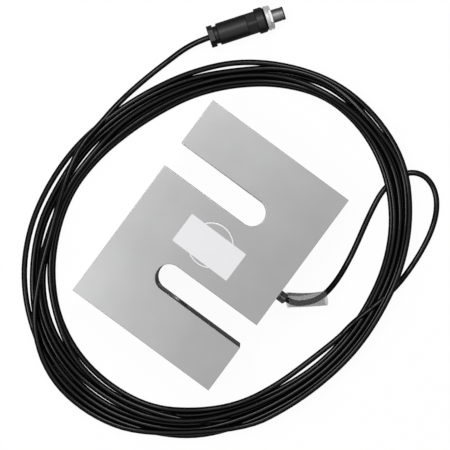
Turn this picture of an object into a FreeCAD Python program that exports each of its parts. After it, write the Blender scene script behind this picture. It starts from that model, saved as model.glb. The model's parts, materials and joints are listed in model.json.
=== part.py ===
"""S-type load cell with its cable and plug: a parametric FreeCAD document, in millimetres.

Frame: origin at the centre of the block's bottom face, +X along the two slots, +Y along the load
axis, +Z up through the block's thickness. The block lies on its rear face.
"""
import FreeCAD, Part
import math
import os
import re
import Sketcher
from FreeCAD import Placement, Rotation, Vector

# Driving dimensions: alias, value in mm (or degrees, or a count), meaning.
SIZES = (
    ("body_width", 127.0, "block, along the slots"),
    ("body_height", 177.8, "block, along the load axis"),
    ("body_thickness", 50.8, "block, from face to face"),
    ("edge_chamfer", 0.3, "chamfer round the block's outline"),
    ("arm_height", 40.0, "each end arm, from the end face to the slot"),
    ("slot_gap", 21.0, "width of a slot, and the diameter of its round end"),
    ("slot_depth", 84.5, "slot, from the side face to the apex of its round end"),
    ("thread_diameter", 30.0, "M30 loading hole, at the thread's major diameter"),
    ("thread_mouth", 1.5, "countersink at the mouth of a loading hole"),
    ("pocket_diameter", 31.0, "gauge pocket"),
    ("web_thickness", 12.8, "sensing web between the two gauge pockets"),
    ("cover_diameter", 35.1, "disc that closes a gauge pocket"),
    ("cover_thickness", 1.2, "disc"),
    ("cover_recess", 0.05, "disc's rim below the block's face"),
    ("cover_rim", 1.3, "raised rim of the disc"),
    ("cover_field", 0.1, "disc's middle below its rim"),
    ("seat_clearance", 0.05, "round the disc, in radius"),
    ("cover_edge", 0.15, "chamfer round the disc"),
    ("sealant_depth", 5.0, "potting under a disc"),
    ("cross_hole_diameter", 5.0, "wire hole through the web"),
    ("cross_hole_offset", 11.0, "wire hole, from the pocket's axis"),
    ("channel_diameter", 5.0, "wire channel from the gland port"),
    ("port_diameter", 6.4, "gland port in the side face"),
    ("port_depth", 9.0, "gland port"),
    ("gauge_length", 7.0, "foil gauge"),
    ("gauge_width", 3.5, "foil gauge"),
    ("gauge_foil", 0.2, "foil gauge with its backing"),
    ("gauge_spacing", 8.4, "between the centres of the two gauges on a side"),
    ("gauge_shift", 1.5, "gauges, from the pocket's axis away from the wire hole"),
    ("board_length", 12.0, "terminal board, along the load axis"),
    ("board_width", 6.0, "terminal board, along the slots"),
    ("board_thickness", 1.2, "terminal board"),
    ("board_offset", 10.5, "terminal board's centre, from the pocket's axis"),
    ("board_hole_diameter", 4.0, "hole in the terminal board, over the wire hole"),
    ("resistor_length", 3.2, "trim resistor"),
    ("resistor_width", 1.6, "trim resistor"),
    ("resistor_height", 0.6, "trim resistor"),
    ("resistor_spacing", 8.6, "between the two trim resistors"),
    ("label_length", 51.0, "film label, along the slots"),
    ("label_height", 25.0, "film label, along the load axis"),
    ("label_film", 0.15, "film label"),
    ("label_corner", 1.0, "corner radius of the film label"),
    ("label_drop", 1.9, "label's centre below the pocket's axis"),
    ("label_turn", 0.5, "label, turned clockwise, in degrees"),
    ("cable_diameter", 4.5, "cable jacket"),
    ("cable_inset", 0.8, "jacket's end inside the side face"),
    ("first_bend", 11.8, "cable's first bend, from the side face"),
    ("core_diameter", 1.0, "insulated core"),
    ("core_pitch", 1.6, "between neighbouring cores"),
    ("core_bend", 1.8, "bend of the cores into the wire hole, inner radius"),
    ("core_stub", 1.5, "cores above the terminal board"),
    ("gland_across", 8.2, "gland hexagons, across the flats"),
    ("gland_corner", 9.2, "gland hexagons, across the turned corners"),
    ("gland_turn", 30.0, "first flat of those hexagons from the top, in degrees"),
    ("gland_bore", 4.7, "gland, round the cable"),
    ("washer_diameter", 8.6, "sealing washer"),
    ("washer_thickness", 0.6, "sealing washer"),
    ("shank_diameter", 6.2, "gland shank in its port"),
    ("shank_length", 8.4, "gland shank in its port"),
    ("flange_length", 2.0, "gland flange"),
    ("neck_diameter", 5.8, "gland neck inside the nut"),
    ("neck_length", 1.2, "gland neck inside the nut"),
    ("nut_length", 5.0, "gland nut"),
    ("nut_wall", 1.2, "gland nut's end wall"),
    ("nut_clearance", 0.1, "thread clearance of the gland nut and of the plug's rear nut"),
    ("sleeve_length", 30.5, "flat transparent sleeve"),
    ("sleeve_width", 11.8, "flat transparent sleeve"),
    ("sleeve_height", 6.8, "flat transparent sleeve, over the cable"),
    ("sleeve_film", 0.3, "wall of the sleeve"),
    ("sleeve_heading", 37.9, "sleeve's direction from +X, in degrees"),
    ("sleeve_fall", 19.0, "sleeve's fall towards its far end, in degrees"),
    ("sleeve_start", 9.1, "sleeve's near end, from the side face"),
    ("sleeve_aside", 1.5, "sleeve's near end, beside the gland's axis"),
    ("sleeve_drop", 0.1, "sleeve's near end, below the gland's axis"),
    ("plug_rear_x", -97.0, "centre of the plug's rear face"),
    ("plug_rear_y", 127.8, "centre of the plug's rear face"),
    ("plug_heading", 54.5, "plug's direction from +X, in degrees"),
    ("rear_nut_across", 15.0, "rear nut, across the flats"),
    ("rear_nut_corner", 17.2, "rear nut, across the corners"),
    ("rear_nut_length", 4.5, "rear nut"),
    ("rear_nut_wall", 1.2, "rear nut's end wall"),
    ("cable_hole", 5.2, "holes round the cable in the plug"),
    ("stub_diameter", 11.5, "threaded stub inside the rear nut"),
    ("seal_diameter", 8.4, "rubber seal and clamp ring in the stub"),
    ("seal_length", 5.0, "rubber seal"),
    ("clamp_length", 2.0, "clamp ring"),
    ("housing_neck", 14.0, "housing between the rear nut and the sleeve, diameter"),
    ("housing_start", 7.4, "rear end of the housing's sleeve, from the plug's rear face"),
    ("housing_end", 31.1, "front end of the housing's sleeve"),
    ("housing_diameter", 17.2, "housing's sleeve"),
    ("housing_edge", 0.6, "chamfer at the housing's rear edge"),
    ("chamber_diameter", 14.8, "housing's chamber"),
    ("shoulder_length", 2.0, "wall between the clamp ring and the chamber"),
    ("spigot_length", 5.0, "front body's spigot in the chamber"),
    ("spigot_clearance", 0.1, "round the spigot, in radius"),
    ("oring_width", 1.6, "O-ring on the spigot"),
    ("oring_depth", 0.7, "O-ring's groove"),
    ("oring_setback", 1.6, "from the housing's front end back to the O-ring"),
    ("wrench_across", 17.0, "front body's wrench hexagon, across the flats"),
    ("wrench_corner", 18.4, "front body's wrench hexagon, across the turned corners"),
    ("wrench_turn", 36.0, "first flat of that hexagon from the top, in degrees"),
    ("collar_start", 38.9, "rear end of the collar, from the plug's rear face"),
    ("collar_end", 46.2, "front end of the collar"),
    ("collar_diameter", 20.0, "collar, on which the plug lies"),
    ("collar_round", 1.6, "rounding of the collar's front edge"),
    ("hub_diameter", 12.4, "hub that carries the coupling ring"),
    ("hub_length", 3.0, "hub"),
    ("coupling_clearance", 0.1, "coupling ring round its hub, in radius"),
    ("coupling_float", 0.2, "coupling ring between the collar and the snap ring, each side"),
    ("coupling_web", 1.2, "inward web of the coupling ring"),
    ("coupling_bore", 15.4, "mouth of the coupling ring"),
    ("flange_diameter", 19.4, "coupling ring's flange"),
    ("flange_width", 2.2, "coupling ring's flange"),
    ("groove_diameter", 17.8, "coupling ring's groove"),
    ("groove_width", 0.5, "coupling ring's groove"),
    ("grip_across", 16.6, "coupling ring's hexagon, across the flats"),
    ("grip_corner", 19.0, "coupling ring's hexagon, across the corners"),
    ("grip_width", 2.3, "coupling ring's hexagon"),
    ("grip_chamfer", 0.7, "chamfer of the hexagon's corners, along the axis"),
    ("snap_diameter", 14.2, "snap ring"),
    ("snap_width", 0.8, "snap ring"),
    ("snap_depth", 0.4, "snap ring's groove in the hub"),
    ("barrel_diameter", 10.4, "metal barrel"),
    ("barrel_bore", 8.8, "metal barrel"),
    ("barrel_end", 60.0, "front end of the barrel, from the plug's rear face"),
    ("barrel_foot", 12.0, "barrel's rear flange, diameter"),
    ("foot_length", 2.0, "barrel's rear flange"),
    ("foot_clearance", 0.1, "round the barrel's rear flange, in radius"),
    ("foot_seat", 34.5, "seat of the barrel's rear flange, from the plug's rear face"),
    ("barrel_shank", 10.8, "barrel inside the front body, diameter"),
    ("band_diameter", 10.0, "turned band near the barrel's mouth"),
    ("band_width", 1.3, "turned band near the barrel's mouth"),
    ("band_setback", 1.1, "turned band, from the barrel's front end"),
    ("tip_length", 1.0, "black ring at the barrel's mouth"),
    ("insert_start", 35.0, "rear end of the contact insert"),
    ("insert_end", 54.0, "front end of the contact insert"),
    ("pin_diameter", 1.0, "contact pin"),
    ("pin_circle", 5.0, "circle of the outer contact pins"),
    ("pin_tail", 3.0, "pins behind the insert"),
    ("pin_nose", 4.0, "pins in front of the insert"),
    ("jacket_end", 8.5, "end of the cable's jacket inside the plug"),
    ("last_bend", 6.5, "cable's last bend, behind the plug's rear face"),
    ("coil_centre_x", 3.5, "centre of the coil of cable"),
    ("coil_centre_y", 1.0, "centre of the coil of cable"),
    ("coil_height", 9.4, "coil, two cables deep"),
    ("coil_chamfer", 2.2, "long edges of the coil's solid"),
)
CORES = 4

# The coil's outline, anticlockwise from +X at even steps: inner and outer radius about its centre.
COIL_STATIONS = (
    (116.5, 135.7), (129.3, 145.8), (140.5, 160.7), (141.3, 158.0),
    (123.2, 145.7), (111.5, 132.3), (113.6, 135.0), (122.0, 146.0),
    (132.7, 157.8), (133.8, 164.8), (126.2, 150.8), (115.0, 137.8),
)

# The cable's route outside its coil. The lead falls from the gland and runs under the coil, the
# loop comes back over the coil, and the tail runs from the coil to the plug.
LEAD_ROUTE = (
    (84.6, 6.6, 21.4), (91.4, 15.6, 17.8), (94.0, 26.5, 13.0), (94.4, 39.5, 7.6),
    (93.0, 53.0, 3.7), (90.6, 66.5, 2.25), (87.2, 81.0, 2.25), (84.2, 95.5, 2.25),
    (82.2, 109.0, 2.25), (82.9, 119.5, 2.25),
)
LOOP_ROUTE = (
    (86.3, 130.5, 2.25), (90.6, 136.5, 2.25), (96.8, 140.2, 2.25), (104.2, 141.0, 2.25),
    (112.6, 138.2, 2.25), (120.8, 131.4, 2.25), (127.6, 120.6, 2.25), (132.2, 106.4, 2.25),
    (134.6, 90.4, 2.25), (135.4, 74.4, 3.2), (134.6, 61.4, 7.6), (132.5, 48.4, 11.9),
    (129.1, 35.2, 11.7), (125.9, 23.0, 8.4), (123.7, 11.6, 5.0),
)
TAIL_ROUTE = (
    (-125.2, 24.0, 8.2), (-124.6, 36.5, 5.6), (-123.0, 50.5, 2.8), (-119.8, 66.5, 2.25),
    (-116.0, 81.6, 2.25), (-111.8, 95.8, 3.4), (-107.5, 109.4, 6.5),
)

SHEET_NAME = "Sizes"
FULL_TURN = 360.0
HEXAGON = 6
ALIAS = re.compile(r"\b[a-z]+(?:_[a-z]+)+\b")
ARC_SHARE = 0.45
TOUCH = 1e-6

doc = FreeCAD.newDocument("s_type_load_cell")
sheet = doc.addObject("Spreadsheet::Sheet", SHEET_NAME)
pieces = []


# ---------------------------------------------------------------- sheet and binding

def fill_sheet():
    for row, (alias, number, meaning) in enumerate(SIZES, start=1):
        sheet.set(f"A{row}", meaning)
        sheet.set(f"B{row}", str(number))
        sheet.setAlias(f"B{row}", alias)
    doc.recompute()


def named(formula):
    """A formula in plain aliases, written as FreeCAD reads it from another object."""
    return ALIAS.sub(lambda found: f"{SHEET_NAME}.{found.group(0)}", str(formula))


def value(formula):
    return float(sheet.evalExpression(named(formula)))


def bind(thing, setting, formula):
    thing.setExpression(setting, named(formula))


def put(thing, x="0", y="0", z="0", turn="0"):
    """Places a piece, turned about +Z by turn degrees."""
    thing.Placement = Placement(Vector(), Rotation(Vector(0, 0, 1), 0))
    for axis, formula in zip("xyz", (x, y, z)):
        bind(thing, f"Placement.Base.{axis}", formula)
    if turn != "0":
        thing.Placement = Placement(Vector(), Rotation(Vector(0, 0, 1), 1))
        bind(thing, "Placement.Rotation.Angle", turn)
    return thing


def keep(thing, label):
    """Counts the object as a sub-part: its label names its STEP file."""
    thing.Label = label
    pieces.append(thing)
    return thing


# ---------------------------------------------------------------- PartDesign helpers

def new_body(label):
    return keep(doc.addObject("PartDesign::Body", f"Body_{label}"), label)


def origin_part(body, role):
    return next(item for item in body.Origin.OriginFeatures if item.Role == role)


def new_sketch(body, name, role, lift="0", turn="0"):
    """A sketch on one of the body's planes, lifted off it and turned in it by degrees."""
    sketch = body.newObject("Sketcher::SketchObject", name)
    sketch.AttachmentSupport = (origin_part(body, role), [""])
    sketch.MapMode = "FlatFace"
    bind(sketch, "AttachmentOffset.Base.z", lift)
    if turn != "0":
        sketch.AttachmentOffset = Placement(Vector(), Rotation(Vector(0, 0, 1), 1))
        bind(sketch, "AttachmentOffset.Rotation.Angle", turn)
    return sketch


def pin(sketch, edge, point, x, y):
    """Ties a point of an edge to formulas for its place in the sketch."""
    for kind, formula in (("DistanceX", x), ("DistanceY", y)):
        rule = Sketcher.Constraint(kind, -1, 1, edge, point, value(formula))
        bind(sketch, f"Constraints[{sketch.addConstraint(rule)}]", formula)


def outline(sketch, corners):
    """A closed outline of straight edges, each corner a pair of formulas."""
    spots = [Vector(value(x), value(y), 0) for x, y in corners]
    first = sketch.GeometryCount
    for k, spot in enumerate(spots):
        sketch.addGeometry(Part.LineSegment(spot, spots[(k + 1) % len(spots)]), False)
    for k in range(len(spots)):
        following = first + (k + 1) % len(spots)
        sketch.addConstraint(Sketcher.Constraint("Coincident", first + k, 2, following, 1))
    for k, (x, y) in enumerate(corners):
        pin(sketch, first + k, 1, x, y)


def rectangle(sketch, width, height, x="0", y="0"):
    outline(sketch, (
        (f"{x} - ({width}) / 2", f"{y} - ({height}) / 2"),
        (f"{x} + ({width}) / 2", f"{y} - ({height}) / 2"),
        (f"{x} + ({width}) / 2", f"{y} + ({height}) / 2"),
        (f"{x} - ({width}) / 2", f"{y} + ({height}) / 2"),
    ))


def circle(sketch, diameter, x="0", y="0"):
    centre = Vector(value(x), value(y), 0)
    ring = sketch.addGeometry(Part.Circle(centre, Vector(0, 0, 1), value(diameter) / 2), False)
    size = sketch.addConstraint(Sketcher.Constraint("Diameter", ring, value(diameter)))
    bind(sketch, f"Constraints[{size}]", diameter)
    pin(sketch, ring, 3, x, y)


def add(body, kind, name, sketch, length, side="One side", reverse=False):
    """A Pad or Pocket of the sketch."""
    feature = body.newObject(f"PartDesign::{kind}", name)
    feature.Profile = sketch
    bind(feature, "Length", length)
    feature.SideType = side
    feature.Reversed = reverse
    doc.recompute()
    return feature


def repeat(body, name, originals, count, axis):
    """The features again, spread evenly round one of the body's axes."""
    pattern = body.newObject("PartDesign::PolarPattern", name)
    pattern.Originals = originals
    pattern.Axis = (origin_part(body, axis), [""])
    pattern.Angle = FULL_TURN
    pattern.Occurrences = count
    body.Tip = pattern
    doc.recompute()
    return pattern


def mirror(body, name, originals, role):
    copy = body.newObject("PartDesign::Mirrored", name)
    copy.Originals = originals
    copy.MirrorPlane = (origin_part(body, role), [""])
    body.Tip = copy
    doc.recompute()
    return copy


def soften(body, kind, name, base, size, chosen):
    """A Chamfer or Fillet of the edges for which chosen(edge) holds."""
    names = [f"Edge{k}" for k, edge in enumerate(base.Shape.Edges, start=1) if chosen(edge)]
    feature = body.newObject(f"PartDesign::{kind}", name)
    feature.Base = (base, names)
    bind(feature, "Size" if kind == "Chamfer" else "Radius", size)
    doc.recompute()
    return feature


def turned(label, profile):
    """A piece turned about its own X axis, from corners given as (along the axis, radius)."""
    body = new_body(label)
    sketch = new_sketch(body, f"{label}_profile", "XY_Plane")
    outline(sketch, profile)
    turning = body.newObject("PartDesign::Revolution", f"{label}_turned")
    turning.Profile = sketch
    turning.ReferenceAxis = (sketch, ["H_Axis"])
    turning.Angle = FULL_TURN
    doc.recompute()
    return body


def mill_flats(body, start, length, across, reach, count=HEXAGON, turn="0"):
    """Mills flats round a turned piece, over length from start along its axis."""
    sketch = new_sketch(body, f"{body.Label}_flat", "YZ_Plane", start, turn)
    rectangle(sketch, reach, reach, "0", f"({across}) / 2 + ({reach}) / 2")
    flat = add(body, "Pocket", f"{body.Label}_milled", sketch, length, reverse=True)
    repeat(body, f"{body.Label}_flats", [flat], count, "X_Axis")


def ring_profile(start, length, inner, outer):
    """Corners of a plain ring, from its diameters."""
    return (
        (start, f"({inner}) / 2"), (start, f"({outer}) / 2"),
        (f"{start} + {length}", f"({outer}) / 2"), (f"{start} + {length}", f"({inner}) / 2"),
    )


# ---------------------------------------------------------------- Part helpers

def box(name, length, width, height):
    block = doc.addObject("Part::Box", name)
    for side, formula in (("Length", length), ("Width", width), ("Height", height)):
        bind(block, side, formula)
    return block


def rod(name, diameter, length):
    """A cylinder along its own Z axis."""
    cylinder = doc.addObject("Part::Cylinder", name)
    bind(cylinder, "Radius", f"({diameter}) / 2")
    bind(cylinder, "Height", length)
    return cylinder


def group(label, members):
    """Several like solids in one node."""
    compound = doc.addObject("Part::Compound", f"Group_{label}")
    compound.Links = members
    return keep(compound, label)


def cut(name, base, tool):
    difference = doc.addObject("Part::Cut", name)
    difference.Base = base
    difference.Tool = tool
    return difference


def bent_path(points, share=ARC_SHARE):
    """Straight runs joined by tangent arcs; returns the edges and the arcs' radii."""
    edges = []
    radii = []
    here = points[0]
    for before, corner, after in zip(points, points[1:], points[2:]):
        into = (corner - before).normalize()
        out = (after - corner).normalize()
        setback = share * min((corner - before).Length, (after - corner).Length)
        half_turn = into.getAngle(out) / 2
        radii.append(setback / math.tan(half_turn))
        arc_start = corner - into * setback
        arc_end = corner + out * setback
        bisector = (out - into).normalize()
        centre = corner + bisector * math.hypot(radii[-1], setback)
        middle = centre - bisector * radii[-1]
        edges.append(Part.LineSegment(here, arc_start).toShape())
        edges.append(Part.Arc(arc_start, middle, arc_end).toShape())
        here = arc_end
    edges.append(Part.LineSegment(here, points[-1]).toShape())
    return edges, radii


def tube(name, points, diameter, share=ARC_SHARE):
    """A round tube along a bent path, as a sweep of a circle."""
    edges, radii = bent_path(points, share)
    path = doc.addObject("Part::Feature", f"{name}_path")
    path.Shape = Part.Wire(edges)
    start = doc.addObject("Part::Circle", f"{name}_section")
    bind(start, "Radius", f"({diameter}) / 2")
    start.Placement = Placement(points[0], Rotation(Vector(0, 0, 1), points[1] - points[0]))
    sweep = doc.addObject("Part::Sweep", name)
    sweep.Sections = [start]
    sweep.Spine = (path, [f"Edge{k}" for k in range(1, len(edges) + 1)])
    sweep.Solid = True
    sweep.Frenet = False
    doc.recompute()
    expected = math.pi * (value(diameter) / 2) ** 2 * path.Shape.Length
    print(f"{name}: length {path.Shape.Length:.1f}, smallest radius {min(radii):.1f}, "
          f"volume {sweep.Shape.Volume / expected:.4f} of section x length, radii",
          " ".join(f"{radius:.0f}" for radius in radii))
    return sweep


# ---------------------------------------------------------------- the block

def slot_outline(sketch):
    """The upper slot: open at the left side face, with a full-round end."""
    radius = value("slot_gap / 2")
    centre = Vector(value("slot_depth - slot_gap / 2 - body_width / 2"),
                    value("body_height / 2 - arm_height - slot_gap / 2"), 0)
    mouth = value("-body_width / 2")
    below = Vector(mouth, centre.y - radius, 0)
    above = Vector(mouth, centre.y + radius, 0)
    sketch.addGeometry(Part.LineSegment(below, Vector(centre.x, below.y, 0)), False)
    sketch.addGeometry(Part.ArcOfCircle(Part.Circle(centre, Vector(0, 0, 1), radius),
                                        -math.pi / 2, math.pi / 2), False)
    sketch.addGeometry(Part.LineSegment(Vector(centre.x, above.y, 0), above), False)
    sketch.addGeometry(Part.LineSegment(above, below), False)
    for rule in (("Tangent", 0, 2, 1, 1), ("Tangent", 1, 2, 2, 1), ("Coincident", 2, 2, 3, 1),
                 ("Coincident", 3, 2, 0, 1), ("Horizontal", 0), ("Vertical", 3)):
        sketch.addConstraint(Sketcher.Constraint(*rule))
    size = sketch.addConstraint(Sketcher.Constraint("Radius", 1, radius))
    bind(sketch, f"Constraints[{size}]", "slot_gap / 2")
    pin(sketch, 1, 3, "slot_depth - slot_gap / 2 - body_width / 2",
        "body_height / 2 - arm_height - slot_gap / 2")
    edge = sketch.addConstraint(Sketcher.Constraint("DistanceX", -1, 1, 0, 1, mouth))
    bind(sketch, f"Constraints[{edge}]", "-body_width / 2")


def on_large_face(edge):
    """True for an edge that lies in the front or the rear face of the block."""
    half = value("body_thickness / 2")
    heights = [abs(corner.Z) for corner in edge.Vertexes]
    return edge.BoundBox.ZLength < TOUCH and all(abs(height - half) < TOUCH for height in heights)


def on_end_face(edge):
    """True for the rim of a loading hole in an end face."""
    half = value("body_height / 2")
    is_rim = isinstance(edge.Curve, Part.Circle)
    return is_rim and abs(abs(edge.Curve.Center.y) - half) < TOUCH


def make_block():
    body = new_body("load_cell_body")
    blank_sketch = new_sketch(body, "blank_outline", "XY_Plane")
    rectangle(blank_sketch, "body_width", "body_height")
    add(body, "Pad", "blank", blank_sketch, "body_thickness", side="Symmetric")

    slot_sketch = new_sketch(body, "slot_shape", "XY_Plane")
    slot_outline(slot_sketch)
    slot = add(body, "Pocket", "slot", slot_sketch, "body_thickness", side="Symmetric")

    hole_sketch = new_sketch(body, "loading_hole_shape", "XZ_Plane", "-body_height / 2")
    circle(hole_sketch, "thread_diameter")
    hole = add(body, "Pocket", "loading_hole", hole_sketch, "arm_height + slot_gap / 2",
               reverse=True)
    both_ends = repeat(body, "both_ends", [slot, hole], 2, "Z_Axis")

    edged = soften(body, "Chamfer", "edges", both_ends, "edge_chamfer", on_large_face)
    soften(body, "Chamfer", "hole_mouths", edged, "thread_mouth", on_end_face)

    seat_sketch = new_sketch(body, "cover_seat_shape", "XY_Plane", "body_thickness / 2")
    circle(seat_sketch, "cover_diameter + 2 * seat_clearance")
    seat = add(body, "Pocket", "cover_seat", seat_sketch, "cover_thickness + cover_recess")
    pocket_sketch = new_sketch(body, "gauge_pocket_shape", "XY_Plane", "body_thickness / 2")
    circle(pocket_sketch, "pocket_diameter")
    pocket = add(body, "Pocket", "gauge_pocket", pocket_sketch,
                 "(body_thickness - web_thickness) / 2")
    mirror(body, "both_faces", [seat, pocket], "XY_Plane")

    cross_sketch = new_sketch(body, "cross_hole_shape", "XY_Plane")
    circle(cross_sketch, "cross_hole_diameter", "cross_hole_offset")
    add(body, "Pocket", "cross_hole", cross_sketch, "web_thickness", side="Symmetric")
    port_sketch = new_sketch(body, "gland_port_shape", "YZ_Plane", "body_width / 2")
    circle(port_sketch, "port_diameter")
    add(body, "Pocket", "gland_port", port_sketch, "port_depth")
    channel_sketch = new_sketch(body, "wire_channel_shape", "YZ_Plane", "body_width / 2")
    circle(channel_sketch, "channel_diameter")
    add(body, "Pocket", "wire_channel", channel_sketch, "body_width / 2 - cross_hole_offset")
    put(body, z="body_thickness / 2")


def make_covers():
    """Turned discs on their seats, each with a raised rim and a chamfered outer edge."""
    faces = (("front_cover", 1, "body_thickness - cover_recess - cover_thickness"),
             ("rear_cover", -1, "cover_recess + cover_thickness"))
    for label, side, seat in faces:
        body = new_body(label)
        sketch = new_sketch(body, f"{label}_shape", "XY_Plane")
        circle(sketch, "cover_diameter")
        add(body, "Pad", f"{label}_disc", sketch, "cover_thickness", reverse=side < 0)
        middle_sketch = new_sketch(body, f"{label}_middle_shape", "XY_Plane",
                                   f"{side} * cover_thickness")
        circle(middle_sketch, "cover_diameter - 2 * cover_rim")
        middle = add(body, "Pocket", f"{label}_middle", middle_sketch, "cover_field",
                     reverse=side < 0)
        outer = side * value("cover_thickness")
        radius = value("cover_diameter / 2")
        soften(body, "Chamfer", f"{label}_edge", middle, "cover_edge",
               lambda edge: isinstance(edge.Curve, Part.Circle)
               and abs(edge.Curve.Center.z - outer) < TOUCH
               and abs(edge.Curve.Radius - radius) < TOUCH)
        put(body, z=seat)


def make_sealants():
    seats = (("front_sealant", "body_thickness - cover_recess - cover_thickness - sealant_depth"),
             ("rear_sealant", "cover_recess + cover_thickness"))
    for label, height in seats:
        plug = keep(rod(f"Rod_{label}", "pocket_diameter", "sealant_depth"), label)
        put(plug, z=height)


def make_gauges():
    """Two gauges at plus and minus 45 degrees on each side of the web."""
    foils = []
    web_faces = ("(body_thickness + web_thickness) / 2",
                 "(body_thickness - web_thickness) / 2 - gauge_foil")
    for level, height in enumerate(web_faces):
        for side in (1, -1):
            foil = box(f"gauge_{level}_{side + 1}", "gauge_length", "gauge_width", "gauge_foil")
            turn = Rotation(Vector(0, 0, 1), 45.0 * side)
            centre = Vector(-value("gauge_shift"), side * value("gauge_spacing / 2"), value(height))
            corner = Vector(value("gauge_length / 2"), value("gauge_width / 2"), 0)
            foil.Placement = Placement(centre - turn.multVec(corner), turn)
            foils.append(foil)
    group("strain_gauges", foils)


def make_board():
    """A terminal board on the web's front face, with a hole over the wire hole."""
    body = new_body("bridge_board")
    sketch = new_sketch(body, "board_shape", "XY_Plane")
    rectangle(sketch, "board_width", "board_length", "board_offset")
    hole_sketch = new_sketch(body, "board_hole_shape", "XY_Plane", "board_thickness")
    circle(hole_sketch, "board_hole_diameter", "cross_hole_offset")
    add(body, "Pad", "board", sketch, "board_thickness")
    add(body, "Pocket", "board_hole", hole_sketch, "board_thickness")
    put(body, z="(body_thickness + web_thickness) / 2")

    resistors = []
    for side in (1, -1):
        resistor = box(f"resistor_{side + 1}", "resistor_length", "resistor_width",
                       "resistor_height")
        put(resistor, "board_offset - resistor_length / 2",
            f"{side} * resistor_spacing / 2 - resistor_width / 2",
            "(body_thickness + web_thickness) / 2 + board_thickness")
        resistors.append(resistor)
    group("trim_resistors", resistors)


def core_offsets():
    """Where the four cores lie round the cable's axis, as (sideways, up)."""
    reach = value("core_pitch / 2")
    return [(reach * across, reach * up) for across in (-1, 1) for up in (-1, 1)]


def make_signal_cores():
    """The cores run in from the jacket's end and turn up through the web to the board."""
    mid = value("body_thickness / 2")
    entry = value("body_width / 2 - cable_inset")
    column = value("cross_hole_offset")
    top = value("(body_thickness + web_thickness) / 2 + board_thickness + core_stub")
    cores = []
    for number, (across, up) in enumerate(core_offsets()):
        corner = Vector(column + up, across, mid + up)
        points = [Vector(entry, across, mid + up), corner, Vector(column + up, across, top)]
        bend = value("core_bend") + value("core_pitch / 2") - up
        share = bend / min((points[1] - points[0]).Length, (points[2] - points[1]).Length)
        cores.append(tube(f"signal_core_{number}", points, "core_diameter", share))
    group("signal_cores", cores)


def make_label():
    body = new_body("type_label")
    sketch = new_sketch(body, "label_shape", "XY_Plane")
    rectangle(sketch, "label_length", "label_height")
    film = add(body, "Pad", "label_sheet", sketch, "label_film")
    soften(body, "Fillet", "label_corners", film, "label_corner",
           lambda edge: abs(edge.BoundBox.ZLength - value("label_film")) < TOUCH)
    put(body, y="-label_drop", z="body_thickness", turn="-label_turn")


# ---------------------------------------------------------------- the gland and the sleeve

def put_on_side(body):
    """Places a turned piece on the gland's axis, its own zero at the side face."""
    put(body, x="body_width / 2", z="body_thickness / 2")


def make_gland():
    washer = turned("gland_washer",
                    ring_profile("0", "washer_thickness", "shank_diameter", "washer_diameter"))
    put_on_side(washer)

    flange_end = "washer_thickness + flange_length"
    neck_end = f"{flange_end} + neck_length"
    gland = turned("gland_body", (
        ("-shank_length", "gland_bore / 2"), ("-shank_length", "shank_diameter / 2"),
        ("washer_thickness", "shank_diameter / 2"), ("washer_thickness", "gland_corner / 2"),
        (flange_end, "gland_corner / 2"), (flange_end, "neck_diameter / 2"),
        (neck_end, "neck_diameter / 2"), (neck_end, "gland_bore / 2"),
    ))
    mill_flats(gland, "washer_thickness", "flange_length", "gland_across", "gland_corner",
               turn="gland_turn")
    put_on_side(gland)

    nut_start = f"{flange_end} + nut_clearance"
    nut_end = f"{nut_start} + nut_length"
    thread = "neck_diameter / 2 + nut_clearance"
    nut = turned("gland_nut", (
        (nut_start, thread), (nut_start, "gland_corner / 2"),
        (f"{nut_end} - nut_wall", "gland_corner / 2"), (nut_end, "neck_diameter / 2"),
        (nut_end, "gland_bore / 2"), (f"{nut_end} - nut_wall", "gland_bore / 2"),
        (f"{nut_end} - nut_wall", thread),
    ))
    mill_flats(nut, nut_start, "nut_length", "gland_across", "gland_corner",
               turn="gland_turn")
    put_on_side(nut)

    seal = turned("gland_seal", ring_profile(
        neck_end, f"({nut_end} - nut_wall - ({neck_end}))", "cable_diameter", "neck_diameter"))
    put_on_side(seal)


def make_sleeve():
    """A flattened film tube: its flat runs along its own X axis, its length along Z."""
    body = new_body("clear_sleeve")
    outer_sketch = new_sketch(body, "sleeve_outside", "XY_Plane")
    rectangle(outer_sketch, "sleeve_width", "sleeve_height")
    blank = add(body, "Pad", "sleeve_blank", outer_sketch, "sleeve_length")
    rounded = soften(body, "Fillet", "sleeve_folds", blank, "sleeve_height / 2 - sleeve_film / 2",
                     lambda edge: edge.BoundBox.ZLength > value("sleeve_length / 2"))
    doc.recompute()
    inner_sketch = new_sketch(body, "sleeve_inside", "XY_Plane", "sleeve_length")
    rectangle(inner_sketch, "sleeve_width - sleeve_height", "sleeve_height - 2 * sleeve_film")
    hollow = add(body, "Pocket", "sleeve_hollow", inner_sketch, "sleeve_length")
    for side in (1, -1):
        fold_sketch = new_sketch(body, f"sleeve_fold_{side + 1}", "XY_Plane", "sleeve_length")
        circle(fold_sketch, "sleeve_height - 2 * sleeve_film",
               f"{side} * (sleeve_width - sleeve_height) / 2")
        add(body, "Pocket", f"sleeve_bend_{side + 1}", fold_sketch, "sleeve_length")
    heading = Rotation(Vector(0, 0, 1), value("sleeve_heading"))
    lay_flat = Rotation(Vector(0, 1, 0), Vector(0, 0, 1), Vector(1, 0, 0), "ZXY")
    fall = Rotation(Vector(0, 1, 0), value("sleeve_fall"))
    near_end = Vector(value("body_width / 2 + sleeve_start"), value("sleeve_aside"),
                      value("body_thickness / 2 - sleeve_drop"))
    body.Placement = Placement(near_end, heading * fall * lay_flat)


# ---------------------------------------------------------------- the plug

def put_on_plug(body):
    """Places a turned piece on the plug's axis, its own zero at the plug's rear face."""
    put(body, "plug_rear_x", "plug_rear_y", "collar_diameter / 2", "plug_heading")


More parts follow.
